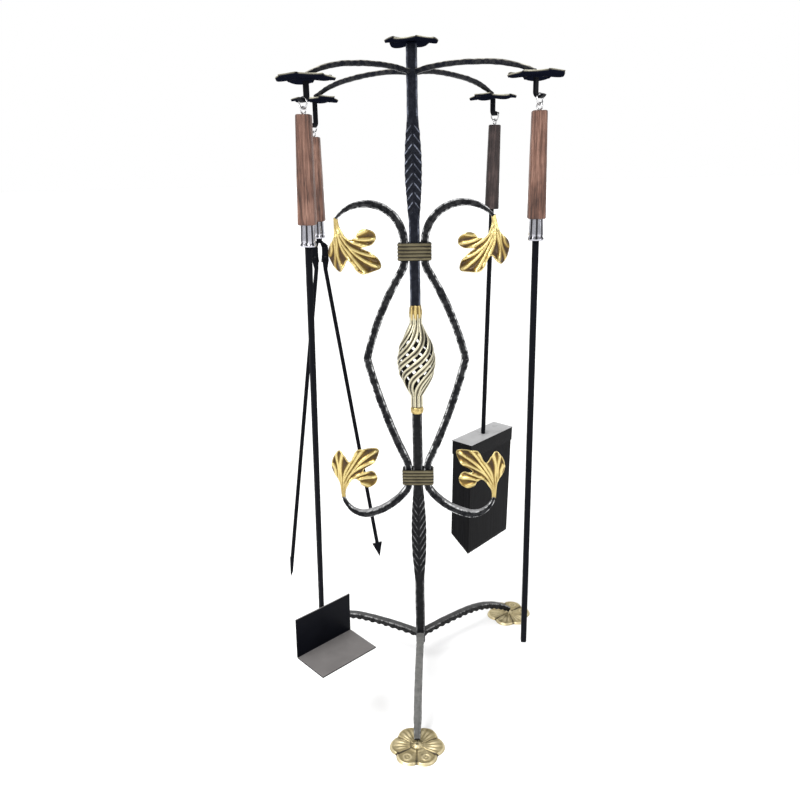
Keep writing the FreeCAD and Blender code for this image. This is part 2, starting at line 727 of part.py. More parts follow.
def make_ferrule(tool):
    """The bright eight-sided socket between a handle and its shaft."""
    body = new_body(tool + "_ferrule")
    bevelled_loft(body, tool + "_socket", "ferrule_length", "ferrule_foot", "ferrule_top",
                  "ferrule_bevel")
    keep(body, tool + "_ferrule", hanging(tool, ferrule_base(tool)))


def block(label, width, depth, height, corner):
    """A box whose sides are bound to the sheet, its lowest corner given."""
    item = document.addObject("Part::Box", label)
    item.setExpression("Length", width)
    item.setExpression("Width", depth)
    item.setExpression("Height", height)
    item.Placement = Placement(corner, Rotation())
    return item


def make_poker():
    """A straight square bar, bevelled to a blunt tip."""
    body = new_body("poker_shaft")
    side = cell("poker_side")
    bar = pad(body, "poker_bar", "0", side, side, cell("poker_length"))
    document.recompute()
    names = []
    for index, edge in enumerate(bar.Shape.Edges, start=1):
        if edge.BoundBox.ZMax < 0.01:
            names.append("Edge%d" % index)
    tip = body.newObject("PartDesign::Chamfer", "poker_tip")
    tip.Base = (bar, names)
    tip.setExpression("Size", cell("poker_bevel"))
    keep(body, "poker_shaft", hanging("poker", ferrule_base("poker") - size("poker_length")))


def make_brush(bearing):
    """A rod, a folded metal cap with a lipped top, and bristles cut on a slant."""
    rod = document.addObject("Part::Cylinder", "brush_rod")
    rod.setExpression("Radius", cell("rod_girth") + " / 2")
    rod.setExpression("Height", cell("rod_length"))
    cap_top = ferrule_base("brush") - size("rod_length")
    keep(rod, "brush_rod", hanging("brush", cap_top))
    long_half = size("brush_length") / 2
    wide_half = size("brush_width") / 2
    lip = size("cap_lip")
    wall = size("cap_wall")
    shell = block("cap_shell", cell("brush_length"), cell("brush_width"), cell("brush_cap"),
                  Vector(-long_half, -wide_half, -size("brush_cap")))
    flange = block("cap_flange", "%s + 2 * %s" % (cell("brush_length"), cell("cap_lip")),
                   "%s + 2 * %s" % (cell("brush_width"), cell("cap_lip")), cell("cap_wall"),
                   Vector(-long_half - lip, -wide_half - lip, -wall))
    hollow = block("cap_hollow", "%s - 2 * %s" % (cell("brush_length"), cell("cap_wall")),
                   "%s - 2 * %s" % (cell("brush_width"), cell("cap_wall")),
                   cell("brush_cap"),
                   Vector(-long_half + wall, -wide_half + wall, -size("brush_cap") - wall))
    closed = document.addObject("Part::Fuse", "cap_closed")
    closed.Base = shell
    closed.Tool = flange
    cap = document.addObject("Part::Cut", "brush_cap")
    cap.Base = closed
    cap.Tool = hollow
    keep(cap, "brush_cap", hanging("brush", cap_top, bearing))
    tuft = document.addObject("Part::Wedge", "brush_bristles")
    across = "%s / 2 - %s" % (cell("brush_length"), cell("cap_wall"))
    deep = "%s / 2 - %s" % (cell("brush_width"), cell("cap_wall"))
    top = "%s + %s - %s" % (cell("bristle_drop"), cell("brush_cap"), cell("cap_wall"))
    bounds = {"Xmin": "-(%s)" % across, "Xmax": across, "X2min": "-(%s)" % across,
              "X2max": across, "Ymin": "-(%s)" % deep, "Ymax": deep, "Zmin": "0",
              "Zmax": top, "Z2min": cell("bristle_slant"), "Z2max": top}
    for name, expression in bounds.items():
        tuft.setExpression(name, expression)
    bottom = cap_top - size("brush_cap") - size("bristle_drop")
    keep(tuft, "brush_bristles", hanging("brush", bottom, bearing))


def make_shovel():
    """A flattened shaft and an open pan folded from one sheet, without side walls."""
    turn = size("pan_turn")
    body = new_body("shovel_shaft")
    head = cell("shovel_top")
    foot = cell("shovel_foot")
    loft(body, "shovel_bar", [("0", foot, foot), (cell("shovel_length"), head, foot)], True)
    shaft_base = ferrule_base("shovel") - size("shovel_length")
    keep(body, "shovel_shaft", hanging("shovel", shaft_base, turn))
    half = size("pan_width") / 2
    near = -size("shovel_foot") / 2
    sheet_side = size("shovel_sheet")
    back = block("pan_back", cell("pan_width"), cell("shovel_sheet"), cell("pan_back"),
                 Vector(-half, near - sheet_side, 0))
    floor = block("pan_floor", cell("pan_width"), cell("pan_floor"), cell("shovel_sheet"),
                  Vector(-half, near - size("pan_floor"), 0))
    pan = document.addObject("Part::Fuse", "shovel_pan")
    pan.Base = back
    pan.Tool = floor
    pan_base = shaft_base + size("pan_lap") - size("pan_back")
    keep(pan, "shovel_pan", hanging("shovel", pan_base, turn))


def tongs_bow(pivots, hole, thick):
    """A flat forked plate under the ferrule, with a window between its cheeks."""
    half = size("bow_half")
    strip = size("bow_strip")
    neck = -size("bow_neck")
    shoulder = -size("bow_shoulder")
    foot = -size("bow_height")
    window = size("bow_window")
    bow = plate([(-strip, 0), (strip, 0), (strip, neck), (half, shoulder), (half, foot),
                 (-half, foot), (-half, shoulder), (-strip, neck)], -thick, thick)
    gap = plate([(-1, neck * 2), (1, neck * 2), (window, shoulder * 1.5), (1.5, foot + 1),
                 (1.5, foot - 1), (-1.5, foot - 1), (-1.5, foot + 1),
                 (-window, shoulder * 1.5)], -thick - 1, thick + 1)
    bow = bow.cut(gap)
    for pivot in pivots:
        start = Vector(pivot.x, -2 * thick, pivot.z)
        bow = bow.cut(Part.makeCylinder(hole, 4 * thick, start, Vector(0, 1, 0)))
    return bow


def tongs_rivet(pivot, hole, thick, back):
    """A rivet through a prong and the bow, with a coned head at either end."""
    head = size("rivet_head") / 2
    rise = size("rivet_rise")
    across = Vector(0, 1, 0)
    stem = Part.makeCylinder(hole, thick + back, Vector(pivot.x, -back, pivot.z), across)
    front = Part.makeCone(head * 0.6, head, rise, Vector(pivot.x, -back - rise, pivot.z),
                          across)
    rear = Part.makeCone(head, head * 0.6, rise, Vector(pivot.x, thick, pivot.z), across)
    return stem.fuse([front, rear]).removeSplitter()


PRONG_TIPS = {"right": [(7.0, 22.0), (0.0, 0.0), (-7.0, 22.0), (-2.5, 22.0)],
              "left": [(3.4, 30.0), (0.0, 0.0), (-2.5, 8.0)]}


def prong_outline(name, length):
    """A right-hand prong's outline: cheek, straight leg and tip, the tip named by side."""
    spread = math.radians(size("prong_spread"))
    half = size("prong_side") / 2
    cheek = size("arm_strip") / 2
    pivot = Vector(size("pivot_half"), 0, -size("pivot_drop"))
    run = Vector(math.sin(spread), 0, -math.cos(spread))
    aside = Vector(math.cos(spread), 0, math.sin(spread))
    start = pivot - Vector(1.2, 0, size("cheek_fall"))
    end = start + run * length
    top = pivot.z + size("cheek_rise")
    corners = [Vector(pivot.x - cheek, 0, top), Vector(pivot.x + cheek, 0, top),
               pivot + Vector(cheek, 0, -3), start + aside * half + run * 4]
    first = PRONG_TIPS[name][0][1]
    corners.append(end + aside * half - run * first)
    for reach, rise in PRONG_TIPS[name]:
        corners.append(end + aside * reach - run * rise)
    corners += [start - aside * half + run * 4, pivot + Vector(-cheek, 0, -3)]
    return [(corner.x, corner.z) for corner in corners]


def make_tongs():
    """A forked bow below the ferrule, and two prongs riveted to its cheeks."""
    thick = size("bow_sheet") / 2
    hole = size("rivet_girth") / 2
    play = size("rivet_play")
    face = thick + play
    back = face + size("arm_sheet")
    pivots = [Vector(side * size("pivot_half"), 0, -size("pivot_drop"))
              for side in SIDES.values()]
    seat = hanging("tongs", ferrule_base("tongs"), size("tongs_turn"))
    shaped("tongs_bow", tongs_bow(pivots, hole, thick), seat)
    rivets = [tongs_rivet(pivot, hole, thick, back + play) for pivot in pivots]
    shaped("tongs_rivets", Part.makeCompound(rivets), seat)
    lengths = {"left": size("prong_length") + size("prong_extra"),
               "right": size("prong_length")}
    for (name, side), pivot in zip(SIDES.items(), pivots):
        outline = prong_outline(name, lengths[name])
        shape = plate([(side * x, z) for x, z in outline], -back, -face)
        bore = Part.makeCylinder(hole + play, 4 * back,
                                 Vector(pivot.x, -2 * back, pivot.z), Vector(0, 1, 0))
        shaped("tongs_prong_" + name, shape.cut(bore), seat)


def make_tools():
    """The four tools, each hanging under its own hook."""
    for tool, arm in TOOLS.items():
        bearing = arm_bearing(arm)
        make_ring(tool, bearing)
        make_eye(tool, bearing)
        make_handle(tool)
    for tool in WITH_FERRULE:
        make_ferrule(tool)
    make_poker()
    make_brush(arm_bearing(TOOLS["brush"]))
    make_shovel()
    make_tongs()


make_tools()


# ---------------------------------------------------------------- centring and export

def check_document():
    """Stop if any object failed, or any piece is empty or broken."""
    for item in document.Objects:
        if "Invalid" in item.State or "Error" in item.State:
            raise RuntimeError("%s is %s" % (item.Name, item.State))
    for piece in pieces:
        if piece.Shape.isNull() or not piece.Shape.isValid() or not piece.Shape.Solids:
            raise RuntimeError(piece.Label + " has no valid solid")


def centre_pieces():
    """Move every piece so that the origin is under the middle of the whole set."""
    box = FreeCAD.BoundBox()
    for piece in pieces:
        box.add(piece.Shape.optimalBoundingBox(False))
    shift = Vector(-box.Center.x, -box.Center.y, -box.ZMin)
    for piece in pieces:
        place = piece.Placement
        piece.Placement = Placement(place.Base + shift, place.Rotation)
    document.recompute()
    return shift, box


document.recompute()
check_document()
shift, box = centre_pieces()
check_document()
os.makedirs("parts", exist_ok=True)
for piece in pieces:
    piece.Shape.exportStep(os.path.join("parts", piece.Label + ".step"))
print("pieces %d, shift %.3f %.3f %.3f" % (len(pieces), shift.x, shift.y, shift.z))
print("size %.1f x %.1f x %.1f" % (box.XLength, box.YLength, box.ZLength))
print("hang reach %.3f" % hang_reach)
for tool in TOOLS:
    print("%s pivot height %.3f, ferrule base %.3f" % (tool, pivot_height(tool),
                                                       ferrule_base(tool)))
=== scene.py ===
"""Looks of the forged fireplace tool set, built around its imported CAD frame.

Lengths named here are in millimetres, in the post's own frame: the post's axis on the
floor is the origin. They become metres in the CAD frame when a mesh is made.
"""

import json
import math

import bmesh
import bpy
import numpy as np
from mathutils import Matrix, Vector, noise
from mathutils.geometry import delaunay_2d_cdt


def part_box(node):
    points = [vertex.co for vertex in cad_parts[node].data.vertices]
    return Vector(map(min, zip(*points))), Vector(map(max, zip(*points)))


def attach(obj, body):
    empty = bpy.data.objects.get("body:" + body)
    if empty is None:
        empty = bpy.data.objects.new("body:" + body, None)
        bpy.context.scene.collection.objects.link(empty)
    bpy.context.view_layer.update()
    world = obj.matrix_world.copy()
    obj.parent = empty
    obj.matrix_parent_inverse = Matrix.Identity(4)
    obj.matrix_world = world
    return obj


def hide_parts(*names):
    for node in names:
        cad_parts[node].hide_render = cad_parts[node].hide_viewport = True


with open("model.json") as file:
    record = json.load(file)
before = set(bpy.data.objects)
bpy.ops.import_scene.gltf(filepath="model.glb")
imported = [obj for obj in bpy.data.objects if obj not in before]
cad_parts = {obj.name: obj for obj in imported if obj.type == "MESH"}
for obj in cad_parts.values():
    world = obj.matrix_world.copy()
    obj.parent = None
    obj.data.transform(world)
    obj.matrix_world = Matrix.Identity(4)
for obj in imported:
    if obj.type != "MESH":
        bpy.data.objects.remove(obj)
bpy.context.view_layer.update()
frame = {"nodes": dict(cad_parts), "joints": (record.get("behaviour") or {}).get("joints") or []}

MM = 0.001
TAU = 2 * math.pi
PIVOTS = {joint["child"]: Vector(joint["pos_m"]) for joint in frame["joints"]
          if joint["type"] == "hinge"}
POST_LOW, POST_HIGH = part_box("post_lower")
AXIS = Vector(((POST_LOW.x + POST_HIGH.x) / 2, (POST_LOW.y + POST_HIGH.y) / 2, 0.0))


def low(node):
    """A node's lowest level in millimetres."""
    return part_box(node)[0].z / MM


def high(node):
    """A node's highest level in millimetres."""
    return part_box(node)[1].z / MM


# --- materials

def new_material(name):
    """An empty node material with its shader; returns (material, tree, shader)."""
    material = bpy.data.materials.new(name)
    material.use_nodes = True
    tree = material.node_tree
    shader = tree.nodes["Principled BSDF"]
    return material, tree, shader


def add(tree, kind, **values):
    """A node with its inputs or properties set by name."""
    node = tree.nodes.new(kind)
    for key, value in values.items():
        if key in node.inputs:
            node.inputs[key].default_value = value
        else:
            setattr(node, key, value)
    return node


def coordinates(tree, stretch=(1.0, 1.0, 1.0)):
    """Object coordinates, stretched along each axis."""
    source = tree.nodes.new("ShaderNodeTexCoord")
    mapping = tree.nodes.new("ShaderNodeMapping")
    mapping.inputs["Scale"].default_value = stretch
    tree.links.new(source.outputs["Object"], mapping.inputs["Vector"])
    return mapping.outputs["Vector"]


def noise_map(tree, scale, detail, roughness, stretch=(1.0, 1.0, 1.0)):
    """A noise texture's value."""
    texture = add(tree, "ShaderNodeTexNoise", Scale=scale, Detail=detail,
                  Roughness=roughness)
    tree.links.new(coordinates(tree, stretch), texture.inputs["Vector"])
    return texture.outputs["Fac"]


def ramp(tree, value, stops):
    """A colour ramp through (position, colour) stops; returns its colour."""
    node = tree.nodes.new("ShaderNodeValToRGB")
    elements = node.color_ramp.elements
    while len(elements) < len(stops):
        elements.new(0.5)
    for element, (position, colour) in zip(elements, stops):
        element.position = position
        element.color = (*colour, 1.0)
    tree.links.new(value, node.inputs["Fac"])
    return node.outputs["Color"]


def grey_ramp(tree, value, *stops):
    """A ramp between greys, through (position, level) stops."""
    return ramp(tree, value, [(position, (level,) * 3) for position, level in stops])


def shaded(tree, value, start, end, colour, share):
    """A colour that drops to a share of itself where a value is low."""
    darker = tuple(channel * share for channel in colour)
    return ramp(tree, value, [(start, darker), (end, colour)])


def feed(tree, socket, value):
    """Give a socket a number, a plain colour or another node's output."""
    if isinstance(value, (int, float)):
        socket.default_value = value
    elif isinstance(value, tuple):
        socket.default_value = (*value, 1.0)
    else:
        tree.links.new(value, socket)


def blend_colours(tree, factor, first, second, mode="MIX"):
    """A mix of two colours, each a socket or a plain colour."""
    node = tree.nodes.new("ShaderNodeMix")
    node.data_type = "RGBA"
    node.blend_type = mode
    for place, value in ((0, factor), (6, first), (7, second)):
        feed(tree, node.inputs[place], value)
    return node.outputs[2]


def maths(tree, operation, first, second):
    """One arithmetic node on sockets or numbers."""
    node = tree.nodes.new("ShaderNodeMath")
    node.operation = operation
    feed(tree, node.inputs[0], first)
    feed(tree, node.inputs[1], second)
    return node.outputs[0]


def weighted(tree, *terms):
    """The sum of (value, weight) terms."""
    total = maths(tree, "MULTIPLY", *terms[0])
    for value, weight in terms[1:]:
        total = maths(tree, "ADD", total, maths(tree, "MULTIPLY", value, weight))
    return total


def set_roughness(tree, shader, value, smooth, rough):
    """Roughness that follows a value between two (position, level) stops."""
    tree.links.new(grey_ramp(tree, value, smooth, rough), shader.inputs["Roughness"])


def bump(tree, shader, height, strength, distance):
    """Surface relief from a height socket."""
    node = add(tree, "ShaderNodeBump", Strength=strength, Distance=distance)
    tree.links.new(height, node.inputs["Height"])
    tree.links.new(node.outputs["Normal"], shader.inputs["Normal"])


def map_range(tree, value, start, end, first=0.0, last=1.0, easing="LINEAR"):
    """A value carried from one range into another."""
    node = add(tree, "ShaderNodeMapRange", interpolation_type=easing)
    for name, level in (("From Min", start), ("From Max", end), ("To Min", first),
                        ("To Max", last)):
        node.inputs[name].default_value = level
    tree.links.new(value, node.inputs["Value"])
    return node.outputs["Result"]


def part_of(tree, vector, axis):
    """One component of a vector socket."""
    split = tree.nodes.new("ShaderNodeSeparateXYZ")
    tree.links.new(vector, split.inputs[0])
    return split.outputs[axis]


def facing_up(tree, start, end):
    """How far a surface faces the sky, from 0 at one cosine to 1 at another."""
    geometry = tree.nodes.new("ShaderNodeNewGeometry")
    return map_range(tree, part_of(tree, geometry.outputs["Normal"], "Z"), start, end)


def relief_value(tree):
    """The relief that mesh code stored on the piece: 0 in grooves, 1 on ridges."""
    node = tree.nodes.new("ShaderNodeAttribute")
    node.attribute_name = "relief"
    return node.outputs["Fac"]


def forged_material(name, base, silver, worn, sky, sky_amount, floor):
    """Hammered black paint worn to silver along its edges, with a painted highlight of the
    overhead light greying the faces that look up.
    """
    material, tree, shader = new_material(name)
    coarse = noise_map(tree, 170.0, 4.0, 0.62)
    fine = noise_map(tree, 760.0, 3.0, 0.65)
    # The relief marks real wear and patina, and on the scroll bars also a painted highlight
    # stripe; all of it turns silver.
    edge = grey_ramp(tree, relief_value(tree), (0.4, 0.03), (0.9, 1.0))
    mottled = maths(tree, "MULTIPLY", coarse, maths(tree, "ADD", fine, 0.5))
    streaks = grey_ramp(tree, mottled, (0.44, floor), (0.62, worn))
    wear_and_painted_highlight = blend_colours(tree, 1.0, edge, streaks, "MULTIPLY")
    painted = blend_colours(tree, wear_and_painted_highlight, shaded(tree, fine, 0.25, 0.75, base, 0.6), silver)
    # Painted highlight: faces that look up blend towards the sky colour, a painted reflection of
    # the overhead light; on the arms it is also their ivory patina.
    upward = maths(tree, "MULTIPLY", facing_up(tree, 0.45, 0.95), sky_amount)
    sky_sheen_and_patina = maths(tree, "MULTIPLY", upward, maths(tree, "ADD", coarse, 0.2))
    feed(tree, shader.inputs["Base Color"], blend_colours(tree, sky_sheen_and_patina, painted, sky))
    shader.inputs["Specular IOR Level"].default_value = 0.09
    set_roughness(tree, shader, coarse, (0.3, 0.28), (0.7, 0.54))
    bump(tree, shader, weighted(tree, (coarse, 0.7), (fine, 0.3)), 0.6, 0.0009)
    return material


def patina_material(name, bright, middle, dark, rough, relief_share, reach, under=None):
    """Gilded metal with a dark wash in its hollows; `under` colours faces that look down."""
    material, tree, shader = new_material(name)
    coarse = noise_map(tree, 130.0, 5.0, 0.62)
    fine = noise_map(tree, 900.0, 3.0, 0.6)
    patches = noise_map(tree, 45.0, 2.0, 0.5)
    height = weighted(tree, (relief_value(tree), relief_share), (coarse, 1.0 - relief_share),
                      (maths(tree, "SUBTRACT", patches, 0.5), 0.45),
                      (maths(tree, "SUBTRACT", fine, 0.5), 0.22))
    colour = ramp(tree, height, [(reach - 0.27, dark), (reach, middle),
                                 (reach + 0.26, bright)])
    if under is None:
        metal = grey_ramp(tree, height, (reach - 0.25, 0.45), (reach, 1.0))
        tree.links.new(metal, shader.inputs["Metallic"])
    else:
        colour = blend_colours(tree, facing_up(tree, -0.25, 0.2), under, colour)
        shader.inputs["Specular IOR Level"].default_value = 0.0
    feed(tree, shader.inputs["Base Color"], colour)
    set_roughness(tree, shader, coarse, (0.3, rough - 0.08), (0.75, rough + 0.16))
    bump(tree, shader, weighted(tree, (coarse, 0.7), (fine, 0.3)), 0.35, 0.0006)
    return material


def painted_material(name, base, top, rough):
    """Satin black paint whose upper faces carry a painted grey reflection of the overhead light.
    """
    material, tree, shader = new_material(name)
    coarse = noise_map(tree, 60.0, 4.0, 0.55)
    fine = noise_map(tree, 1100.0, 2.0, 0.5)
    tone = shaded(tree, coarse, 0.3, 0.7, base, 0.75)
    painted_sky_reflection = shaded(tree, coarse, 0.25, 0.75, top, 0.82)
    # Painted reflection: faces that look up blend towards the top colour, standing in for the
    # overhead light they reflect.
    colour = blend_colours(tree, facing_up(tree, 0.55, 0.97), tone, painted_sky_reflection)
    feed(tree, shader.inputs["Base Color"], colour)
    shader.inputs["Specular IOR Level"].default_value = 0.05
    set_roughness(tree, shader, coarse, (0.3, rough - 0.07), (0.7, rough + 0.1))
    bump(tree, shader, weighted(tree, (fine, 0.6), (coarse, 0.4)), 0.18, 0.0004)
    return material


def bright_material(name, base, rough, brushed):
    """Bright plated metal, brushed along its height where `brushed` is set, which also paints
    its flute hollows dark as shade.
    """
    material, tree, shader = new_material(name)
    stretch = (1.0, 1.0, 0.04) if brushed else (1.0, 1.0, 1.0)
    streaks = noise_map(tree, 700.0, 3.0, 0.6, stretch)
    stains = noise_map(tree, 90.0, 3.0, 0.55)
    tone = shaded(tree, stains, 0.3, 0.65, base, 0.62)
    if brushed:
        # Painted shade: where `brushed` is set, the flute hollows are darkened to a tenth of the
        # chrome colour.
        fluted = grey_ramp(tree, relief_value(tree), (0.25, 0.10), (0.6, 1.0))
        tone = blend_colours(tree, 1.0, tone, fluted, "MULTIPLY")
    feed(tree, shader.inputs["Base Color"], tone)
    shader.inputs["Metallic"].default_value = 1.0
    set_roughness(tree, shader, streaks, (0.25, rough * 0.6), (0.75, rough * 1.5))
    bump(tree, shader, streaks, 0.12, 0.0002)
    return material


def wood_material(name, light, middle, dark, shift):
    """Oiled open-grained hardwood with fine pores running down the handle."""
    material, tree, shader = new_material(name)
    broad = noise_map(tree, 130.0 + shift, 3.0, 0.6, (1.0, 1.0, 0.05))
    grain = noise_map(tree, 620.0 + shift, 4.0, 0.62, (1.0, 1.0, 0.045))
    patch = noise_map(tree, 34.0 + shift, 2.0, 0.5)
    figure = weighted(tree, (grain, 0.4), (patch, 0.25), (broad, 0.35))
    colour = ramp(tree, figure, [(0.38, dark), (0.5, middle), (0.60, light)])
    pores = noise_map(tree, 1700.0, 2.0, 0.5, (1.0, 1.0, 0.05))
    pits = grey_ramp(tree, pores, (0.55, 1.0), (0.68, 0.45))
    pitted = blend_colours(tree, 1.0, colour, pits, "MULTIPLY")
    feed(tree, shader.inputs["Base Color"], pitted)
    set_roughness(tree, shader, grain, (0.3, 0.46), (0.7, 0.62))
    shader.inputs["Specular IOR Level"].default_value = 0.35
    bump(tree, shader, weighted(tree, (grain, 0.5), (pores, -0.8)), 0.4, 0.0005)
    return material


def bristle_material(name):
    """Dense black bristles: fine upright streaks with a faint sheen."""
    material, tree, shader = new_material(name)
    strands = noise_map(tree, 1300.0, 3.0, 0.6, (1.0, 1.0, 0.015))
    locks = noise_map(tree, 120.0, 3.0, 0.55, (1.0, 1.0, 0.08))
    value = weighted(tree, (strands, 0.6), (locks, 0.4))
    colour = ramp(tree, value, [(0.3, (0.002, 0.002, 0.002)), (0.55, (0.005, 0.005, 0.006)),
                                (0.75, (0.012, 0.012, 0.014))])
    feed(tree, shader.inputs["Base Color"], colour)
    shader.inputs["Roughness"].default_value = 0.55
    shader.inputs["Specular IOR Level"].default_value = 0.06
    bump(tree, shader, value, 0.3, 0.0006)
    return material


# Forged blacks: the fifth and sixth values are the colour and amount painted on faces that look
# up, a painted highlight of the overhead light; on the arms it is their ivory patina as well.
FORGED = forged_material("forged_black", (0.0035, 0.004, 0.006), (0.78, 0.79, 0.80), 1.0,
                         (0.40, 0.40, 0.41), 0.8, 0.03)
UPPER_FORGED = forged_material("forged_upper", (0.004, 0.005, 0.010), (0.30, 0.33, 0.42), 0.9,
                               (0.08, 0.08, 0.09), 0.4, 0.25)
LOWER_FORGED = forged_material("forged_lower", (0.0035, 0.004, 0.005), (0.30, 0.30, 0.31), 0.9,
                               (0.08, 0.08, 0.09), 0.4, 0.20)
ARM_FORGED = forged_material("forged_arm", (0.004, 0.005, 0.010), (0.62, 0.60, 0.52), 0.95,
                             (0.55, 0.52, 0.44), 0.75, 0.02)
LEG_FORGED = forged_material("forged_leg", (0.004, 0.004, 0.005), (0.50, 0.50, 0.50), 0.9,
                             (0.10, 0.10, 0.10), 0.75, 0.05)
# Painted light: the front leg's material is a lighter copy of the leg black, because its top
# faces the light.
LIT_FRONT_LEG = forged_material("forged_front_leg_lit_copy", (0.008, 0.008, 0.008), (0.40, 0.40, 0.39), 0.9,
                            (0.14, 0.14, 0.135), 1.2, 0.15)
LEAF_GOLD = patina_material("leaf_gold", (0.70, 0.57, 0.25), (0.25, 0.16, 0.042),
                            (0.048, 0.025, 0.007), 0.32, 0.80, 0.47)
CAP_GOLD = patina_material("cap_gold", (0.62, 0.48, 0.20), (0.22, 0.15, 0.05),
                           (0.02, 0.014, 0.007), 0.34, 0.6, 0.48)
COLLAR_GOLD = patina_material("collar_gold", (0.17, 0.15, 0.095), (0.052, 0.043, 0.026),
                              (0.010, 0.009, 0.007), 0.48, 0.7, 0.56)
CHAMPAGNE = patina_material("champagne", (0.66, 0.62, 0.46), (0.23, 0.20, 0.125),
                            (0.012, 0.010, 0.008), 0.34, 0.85, 0.54)
FLOWER_PATINA = patina_material("flower_patina", (0.70, 0.68, 0.55), (0.20, 0.19, 0.15),
                                (0.010, 0.010, 0.011), 0.42, 0.6, 0.45, (0.005, 0.006, 0.012))
FOOT_GOLD = patina_material("foot_gold", (0.68, 0.59, 0.37), (0.40, 0.33, 0.18),
                            (0.03, 0.022, 0.012), 0.45, 0.62, 0.42)
# Black paints: the second colour is painted on faces that look up, a painted reflection of the
# overhead light, lightest on the pan and the brush cap.
SATIN = painted_material("satin_black", (0.004, 0.0045, 0.007), (0.04, 0.04, 0.043), 0.4)
SHEET = painted_material("sheet_black", (0.003, 0.0035, 0.006), (0.15, 0.142, 0.14), 0.4)
CAP_SHEET = painted_material("cap_black", (0.003, 0.003, 0.004), (0.42, 0.42, 0.425), 0.3)
CHROME = bright_material("ferrule_chrome", (0.52, 0.52, 0.57), 0.12, True)
WIRE = bright_material("bright_wire", (0.62, 0.62, 0.63), 0.2, False)
WOOD = wood_material("reddish_wood", (0.27, 0.15, 0.11), (0.13, 0.062, 0.043),
                     (0.022, 0.010, 0.007), 0.0)
DARK_WOOD = wood_material("dark_wood", (0.09, 0.06, 0.055), (0.030, 0.0195, 0.019),
                          (0.006, 0.004, 0.004), 17.0)
BRISTLE = bristle_material("black_bristle")


# --- mesh helpers

def finish_piece(piece, material, body, node):
    """Give a piece its material and body, and hide the node it replaces."""
    piece.data.materials.clear()
    piece.data.materials.append(material)
    for polygon in piece.data.polygons:
        polygon.use_smooth = True
    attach(piece, body)
    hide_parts(node)


def new_object(name, work, matrix):
    """A new object in the scene from a bmesh whose points a matrix places."""
    mesh = bpy.data.meshes.new(name)
    work.to_mesh(mesh)
    work.free()
    mesh.transform(matrix)
    piece = bpy.data.objects.new(name, mesh)
    bpy.context.scene.collection.objects.link(piece)
    return piece


def rework(piece, change):
    """Alter a piece's mesh as a bmesh."""
    work = bmesh.new()
    work.from_mesh(piece.data)
    change(work)
    work.to_mesh(piece.data)
    work.free()


AT_POST = Matrix.Translation(AXIS)
TO_METRES = Matrix.Scale(MM, 4)


def grid_piece(name, sheets, capped=True, placement=AT_POST):
    """A mesh of closed rings, each sheet (rows, columns, points, relief), in millimetres."""
    work = bmesh.new()
    layer = work.verts.layers.float.new("relief")
    for points, relief in sheets:
        rows, columns = points.shape[:2]
        table = []
        for i in range(rows):
            line = []
            for j in range(columns):
                vertex = work.verts.new(points[i, j])
                vertex[layer] = float(relief[i, j])
                line.append(vertex)
            table.append(line)
        for i in range(rows - 1):
            for j in range(columns):
                k = (j + 1) % columns
                work.faces.new((table[i][j], table[i][k], table[i + 1][k], table[i + 1][j]))
        if capped:
            work.faces.new(table[0][::-1])
            work.faces.new(table[-1])
    bmesh.ops.recalc_face_normals(work, faces=work.faces)
    return new_object(name, work, placement @ TO_METRES)


def stand_piece(name, node, sheets, material):
    """Build and finish a piece of the stand from its grids."""
    finish_piece(grid_piece(name, sheets), material, "stand", node)


def apply_modifiers(piece):
    """Replace a piece's mesh with its evaluated mesh."""
    bpy.context.view_layer.update()
    graph = bpy.context.evaluated_depsgraph_get()
    mesh = bpy.data.meshes.new_from_object(piece.evaluated_get(graph))
    piece.modifiers.clear()
    piece.data = mesh


def thicken(piece, thickness, offset):
    """Turn a piece's open surface into a sheet of a thickness."""
    skin = piece.modifiers.new("thickness", "SOLIDIFY")
    skin.thickness = thickness * MM
    skin.offset = offset
    apply_modifiers(piece)


def rounded_section(count, power=6.0):
    """Unit offsets round a soft-cornered square, evenly spaced along its outline."""
    angle = np.linspace(0.0, TAU, 4001)
    dense = np.stack([np.sign(np.cos(angle)) * np.abs(np.cos(angle)) ** (2 / power),
                      np.sign(np.sin(angle)) * np.abs(np.sin(angle)) ** (2 / power)], axis=1)
    steps = np.linalg.norm(np.diff(dense, axis=0), axis=1)
    along = np.concatenate([[0.0], np.cumsum(steps)])
    marks = np.linspace(0.0, along[-1], count, endpoint=False)
    return np.stack([np.interp(marks, along, dense[:, 0]),
                     np.interp(marks, along, dense[:, 1])], axis=1)


def hammered(point, size, depth):
    """A smooth pseudo-random dent at a point."""
    return depth * noise.noise(Vector(point) / size)


def bar_grid(centres, sides, ups, half_across, half_up, shape, count=40, power=6.0,
             dent=0.3, dent_size=7.0):
    """Rings of a bar: `shape` bends each ring's unit offsets and gives its relief."""
    section = rounded_section(count, power)
    points = np.zeros((len(centres), count, 3))
    relief = np.zeros((len(centres), count))
    for i, (centre, side, up) in enumerate(zip(centres, sides, ups)):
        offsets, height = shape(i, section.copy())
        for j in range(count):
            spot = (centre + side * offsets[j, 0] * half_across[i]
                    + up * offsets[j, 1] * half_up[i])
            push = hammered(spot + 31.0, dent_size, dent) / max(half_up[i], half_across[i])
            spot = spot + (side * offsets[j, 0] * half_across[i]
                           + up * offsets[j, 1] * half_up[i]) * push
            points[i, j] = spot
            relief[i, j] = height[j]
    return points, relief


